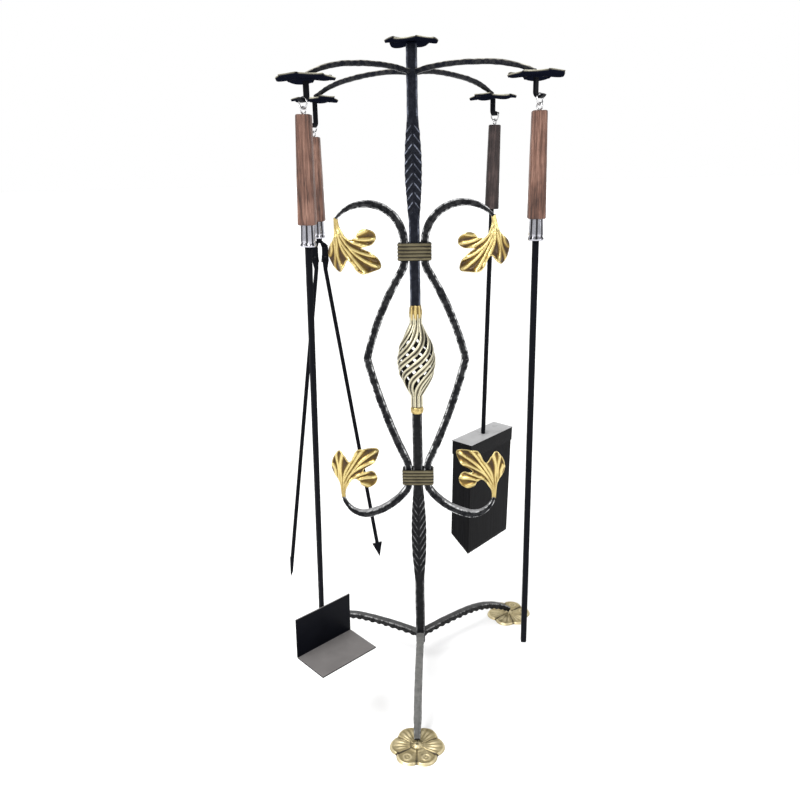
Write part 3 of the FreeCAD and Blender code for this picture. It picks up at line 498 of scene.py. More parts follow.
def tangent_path(points, heading, step=1.2):
    """Points along arcs in the XZ plane that join smoothly, with their directions."""
    centres = []
    headings = []
    heading = np.array(heading, float)
    heading /= np.linalg.norm(heading)
    for start, end in zip(points, points[1:]):
        start = np.array(start, float)
        end = np.array(end, float)
        chord = end - start
        length = np.linalg.norm(chord)
        along = chord / length
        bend = math.atan2(heading[0] * along[1] - heading[1] * along[0],
                          float(heading @ along))
        count = max(2, int(length / step))
        for k in range(count):
            share = k / count
            if abs(bend) < 1e-4:
                centres.append(start + chord * share)
                headings.append(along)
                continue
            radius = length / (2 * math.sin(bend))
            turn = 2 * bend * share
            left = np.array([-heading[1], heading[0]])
            spot = start + left * radius + radius * (
                -left * math.cos(turn) + heading * math.sin(turn))
            centres.append(spot)
            headings.append(heading * math.cos(turn) + left * math.sin(turn))
        turn = 2 * bend
        left = np.array([-heading[1], heading[0]])
        heading = heading * math.cos(turn) + left * math.sin(turn)
    centres.append(np.array(points[-1], float))
    headings.append(heading)
    return np.array(centres), np.array(headings)


def lift_to_space(flat, bearing=0.0):
    """Turn (reach, height) pairs into points of the upright plane at a bearing."""
    angle = math.radians(bearing)
    return np.stack([flat[:, 0] * math.cos(angle), flat[:, 0] * math.sin(angle),
                     flat[:, 1]], axis=1)


def planar_bar(points, heading, bearing, half, half_deep, shape, power, taper, mirror=1,
               dent=0.35, step=1.2, count=40):
    """A bar along joined arcs in an upright plane through the post."""
    flip = np.array([mirror, 1.0])
    flat, directions = tangent_path(points, heading, step)
    directions = directions * flip
    centres = lift_to_space(flat * flip, bearing)
    ups = lift_to_space(np.stack([-directions[:, 1], directions[:, 0]], axis=1), bearing)
    angle = math.radians(bearing)
    sides = np.tile([-math.sin(angle), math.cos(angle), 0.0], (len(centres), 1))
    runs = np.linalg.norm(np.diff(centres, axis=0), axis=1)
    lengths = np.concatenate([[0.0], np.cumsum(runs)])
    slim = taper(lengths)
    return bar_grid(centres, sides, ups, half_deep * slim, half * slim,
                    lambda i, section: shape(lengths[i], section), count, power, dent)


# --- post

def lens_profile(share):
    """How far the forged leaf has swollen, from 0 at its ends to 1 at its middle."""
    return math.sin(math.pi * min(max(share, 0.0), 1.0)) ** 0.95


def worn_edges(section):
    """How near each point of a section is to one of its corners, from 0 to 1."""
    return np.clip((np.abs(section[:, 0] * section[:, 1]) - 0.40) / 0.40, 0.0, 1.0)


def make_post(node, lens_low, lens_high, rise, slope, pitch, material):
    """A forged post length: hammered bar with a herringbone leaf worked into it."""
    side = 6.0
    widest = 9.6
    thinnest = 4.9
    cut_depth = 1.25
    bottom = low(node)
    top = high(node)
    levels = np.append(np.arange(bottom, top, 0.8), top)
    centres = np.array([[0.0, 0.0, z] for z in levels])
    swell = [lens_profile((z - lens_low) / (lens_high - lens_low)) for z in levels]
    across = np.array([side + (widest - side) * s for s in swell])
    deep = np.array([side + (thinnest - side) * s for s in swell])

    def shape(i, section):
        depth = min(1.0, swell[i] * 2.2)
        x = section[:, 0] * across[i]
        phase = (levels[i] * rise + slope * np.abs(x)) / pitch
        groove = (0.5 + 0.5 * np.cos(TAU * phase)) ** 1.6
        spine = np.exp(-(x / 1.1) ** 2)
        carved = depth * np.maximum(groove, 0.8 * spine)
        face = np.clip(np.abs(section[:, 1]) * 1.4 - 0.2, 0.0, 1.0)
        section[:, 1] *= 1.0 - cut_depth / deep[i] * carved * face
        section[:, 0] *= 1.0 - 0.35 / across[i] * carved
        line = np.exp(-((phase % 1.0 - 0.5) / 0.13) ** 2)
        crest = depth * line * (1.0 - 0.7 * spine) * 0.95
        return section, np.maximum(worn_edges(section) * (0.75 - 0.5 * depth), crest)

    sides = np.tile([1.0, 0.0, 0.0], (len(levels), 1))
    ups = np.tile([0.0, 1.0, 0.0], (len(levels), 1))
    grid = bar_grid(centres, sides, ups, across, deep, shape, 80, 5.0, 0.3, 8.0)
    stand_piece("forged_" + node, node, [grid], material)


LOWER_LENS = (low("post_lower") + 93.0, low("post_lower") + 222.0)
UPPER_LENS = (high("post_upper") - 182.0, high("post_upper") - 71.0)
make_post("post_lower", *LOWER_LENS, -1.0, 1.9, 10.3, LOWER_FORGED)
make_post("post_upper", *UPPER_LENS, 1.0, 1.25, 10.2, UPPER_FORGED)


# --- scrolls

COLLAR_HEIGHT = 20.0
SCROLL_LINE = 11.8
SCROLL_HALF = 4.5
SCROLL_DEEP = 5.0
KINK = (58.5, 415.0)
UPPER_COLLAR = low("upper_collar")
LOWER_COLLAR = low("lower_collar")
UPPER_END = (89.0, UPPER_COLLAR + COLLAR_HEIGHT + 28.0)
LOWER_END = (94.5, LOWER_COLLAR - 19.0)


def fluted(length, section):
    """A groove down both broad faces of a scroll bar, with rubbed edges and a painted highlight
    stripe along its narrow faces.
    """
    groove = np.exp(-(section[:, 1] / 0.26) ** 2) * (np.abs(section[:, 0]) > 0.6)
    section[:, 0] *= 1.0 - 0.22 * groove
    rub = 0.5 + 0.5 * noise.noise(Vector((length / 16.0, 3.1, 0.0)))
    shine = 0.5 + 0.5 * noise.noise(Vector((length / 22.0, 9.7, 0.0)))
    # Painted highlight: a patchy light stripe along the narrow faces, which the relief carries
    # to the silver colour.
    painted_highlight_stripe = np.exp(-((section[:, 0] - 0.45) / 0.13) ** 2) * np.clip(shine * 3.0 - 1.3, 0.0, 1.0)
    return section, np.maximum(worn_edges(section) * np.clip(rub * 2.0, 0.3, 1.0), painted_highlight_stripe)


def make_scrolls():
    """The four scroll bars, each one length from its leaf to the kink."""
    top = UPPER_COLLAR + COLLAR_HEIGHT
    upper = [UPPER_END, (SCROLL_LINE, top), (SCROLL_LINE, UPPER_COLLAR),
             (SCROLL_LINE + 3.4, UPPER_COLLAR - 12.0), KINK]
    base = LOWER_COLLAR
    lower = [LOWER_END, (84.0, base - 36.0), (62.0, base - 41.0), (34.0, base - 28.0),
             (SCROLL_LINE + 3.0, base - 9.0), (SCROLL_LINE, base),
             (SCROLL_LINE, base + COLLAR_HEIGHT),
             (SCROLL_LINE + 2.6, base + COLLAR_HEIGHT + 12.0), KINK]
    for name, points in (("upper", upper), ("lower", lower)):
        heading = start_heading(points, name)
        for side, mirror in (("left", -1), ("right", 1)):
            node = "scroll_%s_%s" % (name, side)
            grid = planar_bar(points, heading, 0.0, SCROLL_HALF, SCROLL_DEEP, fluted,
                              5.0, lambda s: np.clip(0.42 + s / 75.0, 0.42, 1.0), mirror)
            stand_piece("forged_" + node, node, [grid], FORGED)


def start_heading(points, name):
    """The direction at a scroll's free end, so that the bar is upright in its collar."""
    sign = 1.0 if name == "upper" else -1.0
    stop = 1 if name == "upper" else 5
    route = points[:stop + 1][::-1]
    _, headings = tangent_path(route, (0.0, sign))
    return -headings[-1]


make_scrolls()


# --- leaves

LEAF_LENGTH = 66.0
LEAF_CURL = 60.0
LEAF_MIDDLE = 18.0
LEAF_SHEET = 1.4
LEAF_EDGE = [
    (-0.036, -0.02), (-0.04, 0.20), (-0.06, 0.36), (-0.16, 0.56), (-0.155, 0.72),
    (-0.09, 0.87), (0.02, 0.98), (0.10, 0.90), (0.17, 0.76), (0.25, 0.80), (0.33, 0.95),
    (0.45, 1.01), (0.62, 0.98), (0.75, 0.92), (0.71, 0.75), (0.60, 0.64), (0.43, 0.54),
    (0.60, 0.49), (0.68, 0.37), (0.64, 0.25), (0.49, 0.19), (0.38, 0.25), (0.33, 0.35),
    (0.22, 0.38), (0.12, 0.27), (0.05, 0.12), (0.036, -0.02)]
LEAF_VEINS = [
    ((-0.06, 0.42), ((-0.14, 0.68), (-0.04, 0.93), (0.07, 0.90))),
    ((0.02, 0.55), ((0.33, 0.92), (0.50, 0.98), (0.70, 0.90), (0.64, 0.70))),
    ((0.10, 0.47), ((0.52, 0.51), (0.66, 0.38), (0.52, 0.22))),
]


def smooth_edge(points, steps):
    """A curve through points (Catmull-Rom), `steps` parts to each span."""
    ends = [points[0]] + list(points) + [points[-1]]
    ends = np.array(ends)
    curve = []
    for k in range(len(points) - 1):
        a, b, c, d = ends[k:k + 4]
        for step in range(steps):
            t = step / steps
            curve.append(0.5 * (2 * b + (c - a) * t + (2 * a - 5 * b + 4 * c - d) * t ** 2
                                + (3 * b - a - 3 * c + d) * t ** 3))
    curve.append(ends[-1])
    return np.array(curve)


def distance_to(points, line):
    """The distance from each point to a polyline, and how far along it that lies."""
    best = np.full(len(points), 1e9)
    share = np.zeros(len(points))
    for k in range(len(line) - 1):
        start = line[k]
        run = line[k + 1] - start
        along = np.clip(((points - start) @ run) / max(run @ run, 1e-12), 0.0, 1.0)
        gap = np.linalg.norm(points - start - along[:, None] * run, axis=1)
        closer = gap < best
        best[closer] = gap[closer]
        share[closer] = (k + along[closer]) / (len(line) - 1)
    return best, share


def leaf_net():
    """The leaf's flat net: points, triangles, vein relief and distance from the edge."""
    edge = smooth_edge(LEAF_EDGE, 6) * LEAF_LENGTH
    low_corner = edge.min(axis=0)
    high_corner = edge.max(axis=0)
    step = 1.05
    inner = []
    rows = int((high_corner[1] - low_corner[1]) / (step * 0.866)) + 1
    for row in range(rows):
        y = low_corner[1] + row * step * 0.866
        shift = step / 2 if row % 2 else 0.0
        for x in np.arange(low_corner[0] + shift, high_corner[0], step):
            inner.append((x, y))
    inner = np.array(inner)
    closed = np.concatenate([edge, edge[:1]])
    gap, _ = distance_to(inner, closed)
    inner = inner[gap > step * 0.45]
    flat = [Vector(point) for point in np.concatenate([edge, inner])]
    result = delaunay_2d_cdt(flat, [], [list(range(len(edge)))], 1, 1e-5)
    points = np.array([tuple(point) for point in result[0]])
    ridge = np.zeros(len(points))
    for bend, ends in LEAF_VEINS:
        for number, end in enumerate(ends):
            start = np.array([0.012 * (number - 2), 0.0])
            bend_point = np.array(bend) + np.array([0.0, 0.012 * (number - 2)])
            t = np.linspace(0.0, 1.0, 15)[:, None]
            curve = (1 - t) ** 2 * start + 2 * t * (1 - t) * bend_point + t ** 2 * np.array(end)
            curve[:, 0] += 0.014 * np.sin(t[:, 0] * 9.0 + number * 1.9)
            gap, share = distance_to(points, curve * LEAF_LENGTH)
            width = 0.9 + 1.5 * share
            ridge = np.maximum(ridge, np.exp(-(gap / width) ** 2) * (0.75 + 0.25 * share))
    rim, _ = distance_to(points, closed)
    return points, result[2], ridge, rim


LEAF_NET = leaf_net()


def make_leaf(place, end, mirror, sign, lean, fold, shorten):
    """A pressed leaf: veined lobes fanning from the stem, its rim rolled, its tips bent."""
    flat, triangles, ridge, rim = LEAF_NET
    a = flat[:, 0]
    b = flat[:, 1]
    edge_glow = np.exp(-(rim / 0.8) ** 2)
    blade = np.clip((b - 8.0) / 14.0, 0.0, 1.0)
    back = LEAF_CURL - np.sqrt(LEAF_CURL ** 2 - (a - LEAF_MIDDLE) ** 2)
    stem_back = LEAF_CURL - math.sqrt(LEAF_CURL ** 2 - LEAF_MIDDLE ** 2)
    out = back - stem_back
    out -= 2.6 * ridge * blade
    out -= 1.1 * edge_glow * blade
    outer = np.clip((6.0 - a) / 16.0, 0.0, 1.0) * np.clip((b - 22.0) / 40.0, 0.0, 1.0)
    out += fold * outer * 10.0
    inner = np.clip((a - 26.0) / 20.0, 0.0, 1.0) * np.clip((36.0 - b) / 20.0, 0.0, 1.0)
    out -= 5.0 * inner ** 1.5
    tip = np.clip((b - 50.0) / 18.0, 0.0, 1.0) * np.clip((a - 12.0) / 10.0, 0.0, 1.0)
    out -= 3.5 * tip ** 1.5
    out += 2.2 * np.sin(a / 4.0 + b / 7.0) * blade * np.clip((5.0 - rim) / 5.0, 0.0, 1.0)
    angle = math.radians(lean)
    b = b * shorten
    x = -a * math.cos(angle) + b * math.sin(angle)
    z = sign * (b * math.cos(angle) + a * math.sin(angle))
    shadow = 0.45 * np.clip(outer * fold * 1.4, 0.0, 1.0)
    relief = np.clip(0.14 + 0.80 * ridge ** 1.3 + 0.6 * edge_glow - shadow, 0.0, 1.0)
    relief = relief * blade + 0.6 * (1.0 - blade)
    work = bmesh.new()
    layer = work.verts.layers.float.new("relief")
    corners = []
    for k in range(len(flat)):
        spot = ((x[k] + end[0]) * mirror, out[k], z[k] + end[1])
        vertex = work.verts.new(spot)
        vertex[layer] = float(relief[k])
        corners.append(vertex)
    for triangle in triangles:
        work.faces.new([corners[k] for k in triangle])
    loose = [vertex for vertex in work.verts if not vertex.link_faces]
    bmesh.ops.delete(work, geom=loose, context="VERTS")
    bmesh.ops.recalc_face_normals(work, faces=work.faces)
    piece = new_object("leaf_blade_" + place, work, AT_POST @ TO_METRES)
    thicken(piece, LEAF_SHEET, 0.0)
    finish_piece(piece, LEAF_GOLD, "stand", "leaf_" + place)


LEAVES = {"upper_left": (UPPER_END, -1, -1, 0.0, 1.0, 0.93),
          "upper_right": (UPPER_END, 1, -1, 13.0, 1.1, 0.84),
          "lower_left": (LOWER_END, -1, 1, 4.0, 0.3, 0.97),
          "lower_right": (LOWER_END, 1, 1, 3.0, 0.0, 0.95)}
for leaf, values in LEAVES.items():
    make_leaf(leaf, *values)


# --- flowers and feet

PETALS = 6
FLOWER_SHEET = 2.6
FOOT_THICK = 2.6
EYED_PETALS = (0, 5)


def flower_grid(girth, first, height_of):
    """A flower's upper surface as (points, relief) over rings from its middle to its rim."""
    rows = 30
    columns = 150
    petal = girth * 0.235
    middle = girth / 2 - petal
    arc = 360.0 / PETALS
    points = np.zeros((rows, columns, 3))
    relief = np.zeros((rows, columns))
    for j in range(columns):
        angle = TAU * j / columns
        turned = math.degrees(angle) - first + arc / 2
        off = math.radians(turned % arc - arc / 2)
        number = int((turned % 360.0) // arc)
        rim = middle * math.cos(off) + math.sqrt(petal ** 2 - (middle * math.sin(off)) ** 2)
        for i in range(rows):
            t = 0.02 + 0.98 * i / (rows - 1)
            radius = rim * t
            lift, ridge = height_of(radius, rim, off, t, number)
            points[i, j] = (radius * math.cos(angle), radius * math.sin(angle), lift)
            relief[i, j] = ridge
    return points, relief


def petal_relief(radius, rim, off, t, girth):
    """Raised rim, radial ribs and boss that are pressed into every petal."""
    border = math.exp(-((rim - radius - 1.6) / 1.0) ** 2)
    ribs = 0.5 + 0.5 * math.cos(off * 26.0)
    ribs *= math.exp(-((t - 0.62) / 0.2) ** 2)
    boss = math.exp(-(radius / (girth * 0.07)) ** 4)
    ring = math.exp(-((radius - girth * 0.135) / 1.1) ** 2)
    valley = math.exp(-((abs(off) - math.pi / PETALS) / 0.06) ** 2) * (1.0 - boss)
    return border, ribs, boss, ring, valley


def make_flower(name, node, centre, girth, first, base, alternate, droop):
    """A pressed sheet flower whose petals wave up and down round its middle."""

    def height_of(radius, rim, off, t, number):
        border, ribs, boss, ring, valley = petal_relief(radius, rim, off, t, girth)
        wave = alternate * math.sin(number * 2.4 + 0.6) * t ** 2
        curl = -droop * t ** 3 * abs(math.cos(off * 3.0))
        relief = 0.5 * border + 0.35 * ribs + 1.4 * boss + 0.4 * ring - 0.5 * valley
        lift = base + wave + curl + relief
        return lift, min(1.0, max(0.0, 0.35 + 0.5 * border + 0.35 * ribs + 0.6 * boss
                                  - 0.6 * valley))

    points, relief = flower_grid(girth, first, height_of)
    points = points + np.array(centre)
    piece = grid_piece(name, [(points, relief)], capped=False)
    rework(piece, fill_middle)
    thicken(piece, FLOWER_SHEET, -1.0)
    finish_piece(piece, FLOWER_PATINA, "stand", node)


def fill_middle(work):
    """Close the small hole that a ring-shaped grid leaves at its middle."""
    rims = [edge for edge in work.edges if edge.is_boundary]
    centre = sum((v.co for e in rims for v in e.verts), Vector()) / (2 * len(rims))
    inner = [e for e in rims if (e.verts[0].co - centre).length < 3.0 * MM]
    bmesh.ops.contextual_create(work, geom=inner)
    bmesh.ops.recalc_face_normals(work, faces=work.faces)
    if sum(face.normal.z for face in work.faces) < 0:
        bmesh.ops.reverse_faces(work, faces=work.faces)


def make_foot(name, node, centre, girth, first):
    """A flower-shaped foot, flat under and embossed on top."""

    def height_of(radius, rim, off, t, number):
        border, ribs, boss, ring, valley = petal_relief(radius, rim, off, t, girth)
        eye_reach = girth * 0.33
        along = radius * math.cos(off) - eye_reach
        aside = radius * math.sin(off)
        distance = math.hypot(along, aside)
        eye = math.exp(-((distance - 4.2) / 0.9) ** 2) + 0.8 * math.exp(-(distance / 1.6) ** 2)
        mark = eye if number in EYED_PETALS else ribs
        edge = 1.0 - t ** 26
        relief = 1.5 * border + 1.1 * mark + 2.4 * boss + 0.9 * ring - 1.6 * valley
        return FOOT_THICK * edge + relief * edge, min(1.0, max(
            0.0, 0.42 + 0.5 * border + 0.45 * mark + 0.4 * boss - 0.9 * valley))

    points, relief = flower_grid(girth, first, height_of)
    rim = points[-1:].copy()
    rim[..., 2] = 0.0
    whole = np.concatenate([points + np.array(centre), rim + np.array(centre)])
    shade = np.concatenate([relief, relief[-1:]])
    stand_piece(name, node, [(whole, shade)], FOOT_GOLD)


HOOK_REACH = 153.5
ARM_BEARINGS = {"front_right": -38.0, "back_right": 52.0, "back_left": 142.0,
                "front_left": 232.0}
LEG_BEARINGS = {"front": -90.0, "right": 40.0, "left": 155.0}
LEG_REACH = 165.5
FLOWER_GIRTH = 58.0
FOOT_GIRTH = 63.0


def around(reach, bearing, level=0.0):
    """A point at a reach and a bearing about the post."""
    angle = math.radians(bearing)
    return np.array([reach * math.cos(angle), reach * math.sin(angle), level])


FLOWER_BASE = low("flower_front_right")
for arm, bearing in ARM_BEARINGS.items():
    make_flower("bloom_" + arm, "flower_" + arm, around(HOOK_REACH, bearing, FLOWER_BASE),
                FLOWER_GIRTH, bearing, 4.4, 1.5, 1.8)
make_flower("bloom_top", "flower_top", (0.0, 0.0, low("flower_top")), FLOWER_GIRTH, 12.0,
            5.2, 1.2, 2.6)
for leg, bearing in LEG_BEARINGS.items():
    make_foot("foot_flower_" + leg, "foot_" + leg, around(LEG_REACH, bearing), FOOT_GIRTH,
              bearing + 30.0)


# --- arms and legs

ARM_HALF = 2.7
ARM_HEIGHT = 729.0
ARM_RISE = 4.3
LEG_HALF = 4.75
LEG_HEIGHT = 39.0
FOOT_SHEET = 3.0


def worked_edges(length, section):
    """Shallow chisel nicks along a bar's edges."""
    corner = np.abs(section[:, 0] * section[:, 1]) > 0.55
    nick = (0.5 + 0.5 * math.cos(TAU * length / 9.0)) * corner
    section *= (1.0 - 0.10 * nick)[:, None]
    upper = np.clip(section[:, 1] * 2.5 - 1.4, 0.0, 1.0)
    rub = 0.5 + 0.5 * noise.noise(Vector((length / 20.0, 5.3, 0.0)))
    return section, upper * np.clip(rub * 2.8 - 0.8, 0.0, 1.0)


def roped(length, section):
    """A leg's lower edges, notched like a rope, under a smooth crowned top."""
    pitch = 10.5
    below = section[:, 1] < 0.1
    side = np.where(section[:, 0] > 0, 0.0, 0.5)
    wave = 0.5 + 0.5 * np.cos(TAU * (length / pitch + side + 0.12 * section[:, 1]))
    cut = np.where(below, 0.26 * wave, 0.0)
    rib = np.exp(-((np.abs(section[:, 0]) - 0.55) / 0.12) ** 2) * (section[:, 1] > 0.8)
    section = section * (1.0 - cut)[:, None]
    section[:, 1] -= 0.07 * rib
    worn = worn_edges(section) * (1.0 - 0.95 * np.maximum(np.where(below, wave, 0.0), rib))
    return section, worn


def make_arms():
    """Four bowed arms, each ending on its flower."""
    top = FLOWER_BASE + 2.0
    points = [(4.0, ARM_HEIGHT + 0.6), (HOOK_REACH * 0.3, ARM_HEIGHT + ARM_RISE),
              (HOOK_REACH * 0.65, ARM_HEIGHT + ARM_RISE * 0.3),
              (HOOK_REACH - 1.0, top + ARM_HALF + 0.8)]
    for arm, bearing in ARM_BEARINGS.items():
        grid = planar_bar(points, (1.0, 0.18), bearing, ARM_HALF, ARM_HALF,
                          worked_edges, 4.5,
                          lambda s: 1.0 - 0.25 * np.clip((s - 120.0) / 30.0, 0.0, 1.0))
        stand_piece("forged_arm_" + arm, "arm_" + arm, [grid], ARM_FORGED)


def make_legs():
    """Three low legs with rope-notched edges."""
    end = FOOT_SHEET + LEG_HALF + 1.2
    points = [(4.0, LEG_HEIGHT - 1.8), (LEG_REACH * 0.5, LEG_HEIGHT), (LEG_REACH - 1.5, end)]
    for leg, bearing in LEG_BEARINGS.items():
        grid = planar_bar(points, (1.0, 0.09), bearing, LEG_HALF, LEG_HALF, roped, 4.5,
                          lambda s: 1.0 - 0.22 * np.clip((s - 145.0) / 20.0, 0.0, 1.0),
                          dent=0.25, step=0.9, count=48)
        # The front leg takes the lighter copy of the leg black: painted light.
        material = LIT_FRONT_LEG if leg == "front" else LEG_FORGED
        stand_piece("forged_leg_" + leg, "leg_" + leg, [grid], material)


make_arms()
make_legs()


# --- basket

BASKET_LOW = low("basket_wires")
BASKET_HIGH = high("basket_wires")
BASKET_GIRTH = 47.0
BASKET_TURN = math.radians(190.0)
BANDS = 8
TAIL = 14.0


def basket_state(level):
    """Radius and turn of the basket's bands at a level."""
    share = (level - BASKET_LOW) / (BASKET_HIGH - BASKET_LOW)
    inside = min(max(share, 0.0), 1.0)
    swell = math.sin(math.pi * inside ** 0.94) ** 1.12
    radius = 5.7 + (BASKET_GIRTH / 2 - 2.0 - 5.7) * swell
    eased = inside - math.sin(TAU * inside) / TAU * 0.55
    return radius, BASKET_TURN * eased


def make_basket():
    """Eight twisted bands, each a flat bar with a groove down its outer face."""
    levels = np.linspace(BASKET_LOW - TAIL, BASKET_HIGH + TAIL * 0.8, 120)
    sheets = []
    for number in range(BANDS):
        centres = []
        for level in levels:
            radius, turn = basket_state(level)
            angle = turn + TAU * number / BANDS
            centres.append([radius * math.cos(angle), radius * math.sin(angle), level])
        centres = np.array(centres)
        tangents = np.gradient(centres, axis=0)
        tangents /= np.linalg.norm(tangents, axis=1)[:, None]
        outward = centres * np.array([1.0, 1.0, 0.0])
        outward /= np.linalg.norm(outward, axis=1)[:, None]
        sides = np.cross(tangents, outward)
        sides /= np.linalg.norm(sides, axis=1)[:, None]
        ups = np.cross(sides, tangents)
        radii = np.linalg.norm(centres[:, :2], axis=1)
        across = np.clip(radii * 0.42, 2.05, 3.7)
        deep = np.full(len(levels), 1.55)

        def shape(i, section):
            groove = np.exp(-(section[:, 0] / 0.34) ** 2) * (section[:, 1] > 0.3)
            section[:, 1] -= 0.62 * groove
            inner = np.where(section[:, 1] < 0.25, 0.9, 0.0)
            return section, np.clip(0.95 - 0.85 * groove - inner, 0.0, 1.0)

        sheets.append(bar_grid(centres, sides, ups, across, deep, shape, 22, 4.0, 0.1))
    stand_piece("basket_bands", "basket_wires", sheets, CHAMPAGNE)


def turned_grid(levels, radius_of, flutes=0, depth=0.0):
    """A turned or lobed solid about the post's axis."""
    count = 72
    points = np.zeros((len(levels), count, 3))
    relief = np.zeros((len(levels), count))
    for i, level in enumerate(levels):
        for j in range(count):
            angle = TAU * j / count
            lobe = 0.5 + 0.5 * math.cos(flutes * angle) if flutes else 1.0
            spot = Vector((math.cos(angle) * 9.0, math.sin(angle) * 9.0, level))
            radius = radius_of(level) * (1.0 - depth * (1.0 - lobe))
            radius += hammered(spot, 3.0, 0.5)
            points[i, j] = (radius * math.cos(angle), radius * math.sin(angle), level)
            relief[i, j] = 0.25 + 0.7 * lobe
    return points, relief


def make_caps():
    """The gilded socket over the basket and the lumpy weld bead under it."""
    top = high("basket_caps")
    sleeve_low = BASKET_HIGH + 4.0
    bead_low = low("basket_caps")
    bead_high = bead_low + 8.5

    def sleeve(level):
        share = (level - sleeve_low) / (top - sleeve_low)
        return 6.9 + 1.1 * math.sin(math.pi * share) - 0.6 * share

    def bead(level):
        share = (level - bead_low) / (bead_high - bead_low)
        return 6.3 + 1.5 * math.sin(math.pi * share) ** 0.7

    upper = turned_grid(np.linspace(sleeve_low, top, 26), sleeve, BANDS, 0.12)
    lower = turned_grid(np.linspace(bead_low, bead_high, 16), bead)
    stand_piece("basket_sockets", "basket_caps", [upper, lower], CAP_GOLD)


make_basket()
make_caps()


# --- collars

COLLAR_HALF = 19.5
COLLAR_DEEP = 9.2
COLLAR_WALL = 1.6
COLLAR_RIBS = 4


def make_collar(node):
    """A folded band with rounded ribs, its hollows left dark."""
    bottom = low(node)
    top = high(node)
    levels = np.linspace(bottom, top, 61)
    count = 120
    section = rounded_section(count, 9.0)
    points = np.zeros((len(levels), count, 3))
    relief = np.zeros((len(levels), count))
    for i, level in enumerate(levels):
        share = (level - bottom) / (top - bottom)
        rib = abs(math.sin(math.pi * share * (COLLAR_RIBS + 1)))
        fall = 0.9 * (1.0 - rib ** 0.55)
        fall += 0.5 * (abs(2 * share - 1) ** 12)
        for j in range(count):
            spot = Vector((section[j, 0] * COLLAR_HALF, section[j, 1] * COLLAR_DEEP, level))
            push = fall + 0.18 * noise.noise(spot / 5.0)
            x = section[j, 0] * (COLLAR_HALF - push)
            y = section[j, 1] * (COLLAR_DEEP - push)
            points[i, j] = (x, y, level)
            relief[i, j] = 0.1 + 0.85 * rib ** 0.8
    inner = np.zeros((2, count, 3))
    for i, level in enumerate((top, bottom)):
        inner[i, :, 0] = section[:, 0] * (COLLAR_HALF - COLLAR_WALL)
        inner[i, :, 1] = section[:, 1] * (COLLAR_DEEP - COLLAR_WALL)
        inner[i, :, 2] = level
    whole = np.concatenate([points, inner, points[:1]])
    shade = np.concatenate([relief, np.zeros((2, count)), relief[:1]])
    piece = grid_piece("ribbed_" + node, [(whole, shade)], capped=False)
    rework(piece, weld)
    finish_piece(piece, COLLAR_GOLD, "stand", node)


def weld(work):
    """Join vertices that lie on each other."""
    bmesh.ops.remove_doubles(work, verts=work.verts, dist=0.02 * MM)
    bmesh.ops.recalc_face_normals(work, faces=work.faces)


make_collar("upper_collar")
make_collar("lower_collar")


# --- tools

TOOL_ARMS = {"poker": "front_right", "brush": "back_right", "tongs": "back_left",
             "shovel": "front_left"}
LEANS = {"brush": -1.7, "shovel": 1.7}
HANDLE_TOP = 7.15
HANDLE_FOOT = 8.6
FERRULE_TOP = 7.0
FERRULE_FOOT = 7.8


def tool_placement(tool):
    """The matrix that puts a tool's own frame, with its ring at the origin, in place."""
    bearing = math.radians(ARM_BEARINGS[TOOL_ARMS[tool]])
    outward = Vector((math.cos(bearing), math.sin(bearing), 0.0))
    lean = Matrix.Rotation(math.radians(-LEANS.get(tool, 0.0)), 4, outward)
    return Matrix.Translation(PIVOTS[tool]) @ lean


def tool_levels(tool, node, count):
    """Levels from a node's foot to its head, measured from the tool's ring."""
    ring = PIVOTS[tool].z / MM
    return np.linspace(low(node) - ring, high(node) - ring, count)


def straight_grid(levels, half_x, half_y, shape, count, power, turn=0.0, dent=0.0):
    """A straight upright bar in a tool's own frame."""
    angle = math.radians(turn)
    sides = np.tile([math.cos(angle), math.sin(angle), 0.0], (len(levels), 1))
    ups = np.tile([-math.sin(angle), math.cos(angle), 0.0], (len(levels), 1))
    centres = np.array([[0.0, 0.0, level] for level in levels])
    return bar_grid(centres, sides, ups, half_x, half_y, shape, count, power, dent)


def plain(_, section):
    """A section left as it is, with an even relief."""
    return section, np.full(len(section), 0.6)


def tool_piece(name, tool, node, grid, material):
    """Build and finish a piece in its tool's own frame."""
    piece = grid_piece(name, [grid], placement=tool_placement(tool))
    finish_piece(piece, material, tool, node)


def spun(x, y, angle):
    """A flat point turned about the origin."""
    return x * math.cos(angle) - y * math.sin(angle), x * math.sin(angle) + y * math.cos(angle)


def softened(levels, half, edge):
    """Half widths along a bar that round in over `edge` at both ends."""
    reach = np.minimum(levels - levels[0], levels[-1] - levels)
    close = np.clip(reach / edge, 0.0, 1.0)
    return half - edge * 0.8 * (1.0 - np.sqrt(1.0 - (1.0 - close) ** 2))


def make_handle(tool):
    """A square grip with eased edges and slightly rounded ends."""
    node = tool + "_handle"
    levels = tool_levels(tool, node, 2)
    levels = np.concatenate([levels[0] + np.linspace(0, 1.5, 6),
                             np.linspace(levels[0] + 3, levels[1] - 3, 50),
                             levels[1] - np.linspace(1.5, 0, 6)])
    share = (levels - levels[0]) / (levels[-1] - levels[0])
    half = HANDLE_FOOT + (HANDLE_TOP - HANDLE_FOOT) * share
    half = softened(levels, half, 1.5)
    grid = straight_grid(levels, half, half, plain, 48, 9.0, 0.0, 0.12)
    wood = DARK_WOOD if tool == "brush" else WOOD
    tool_piece("grip_" + tool, tool, node, grid, wood)


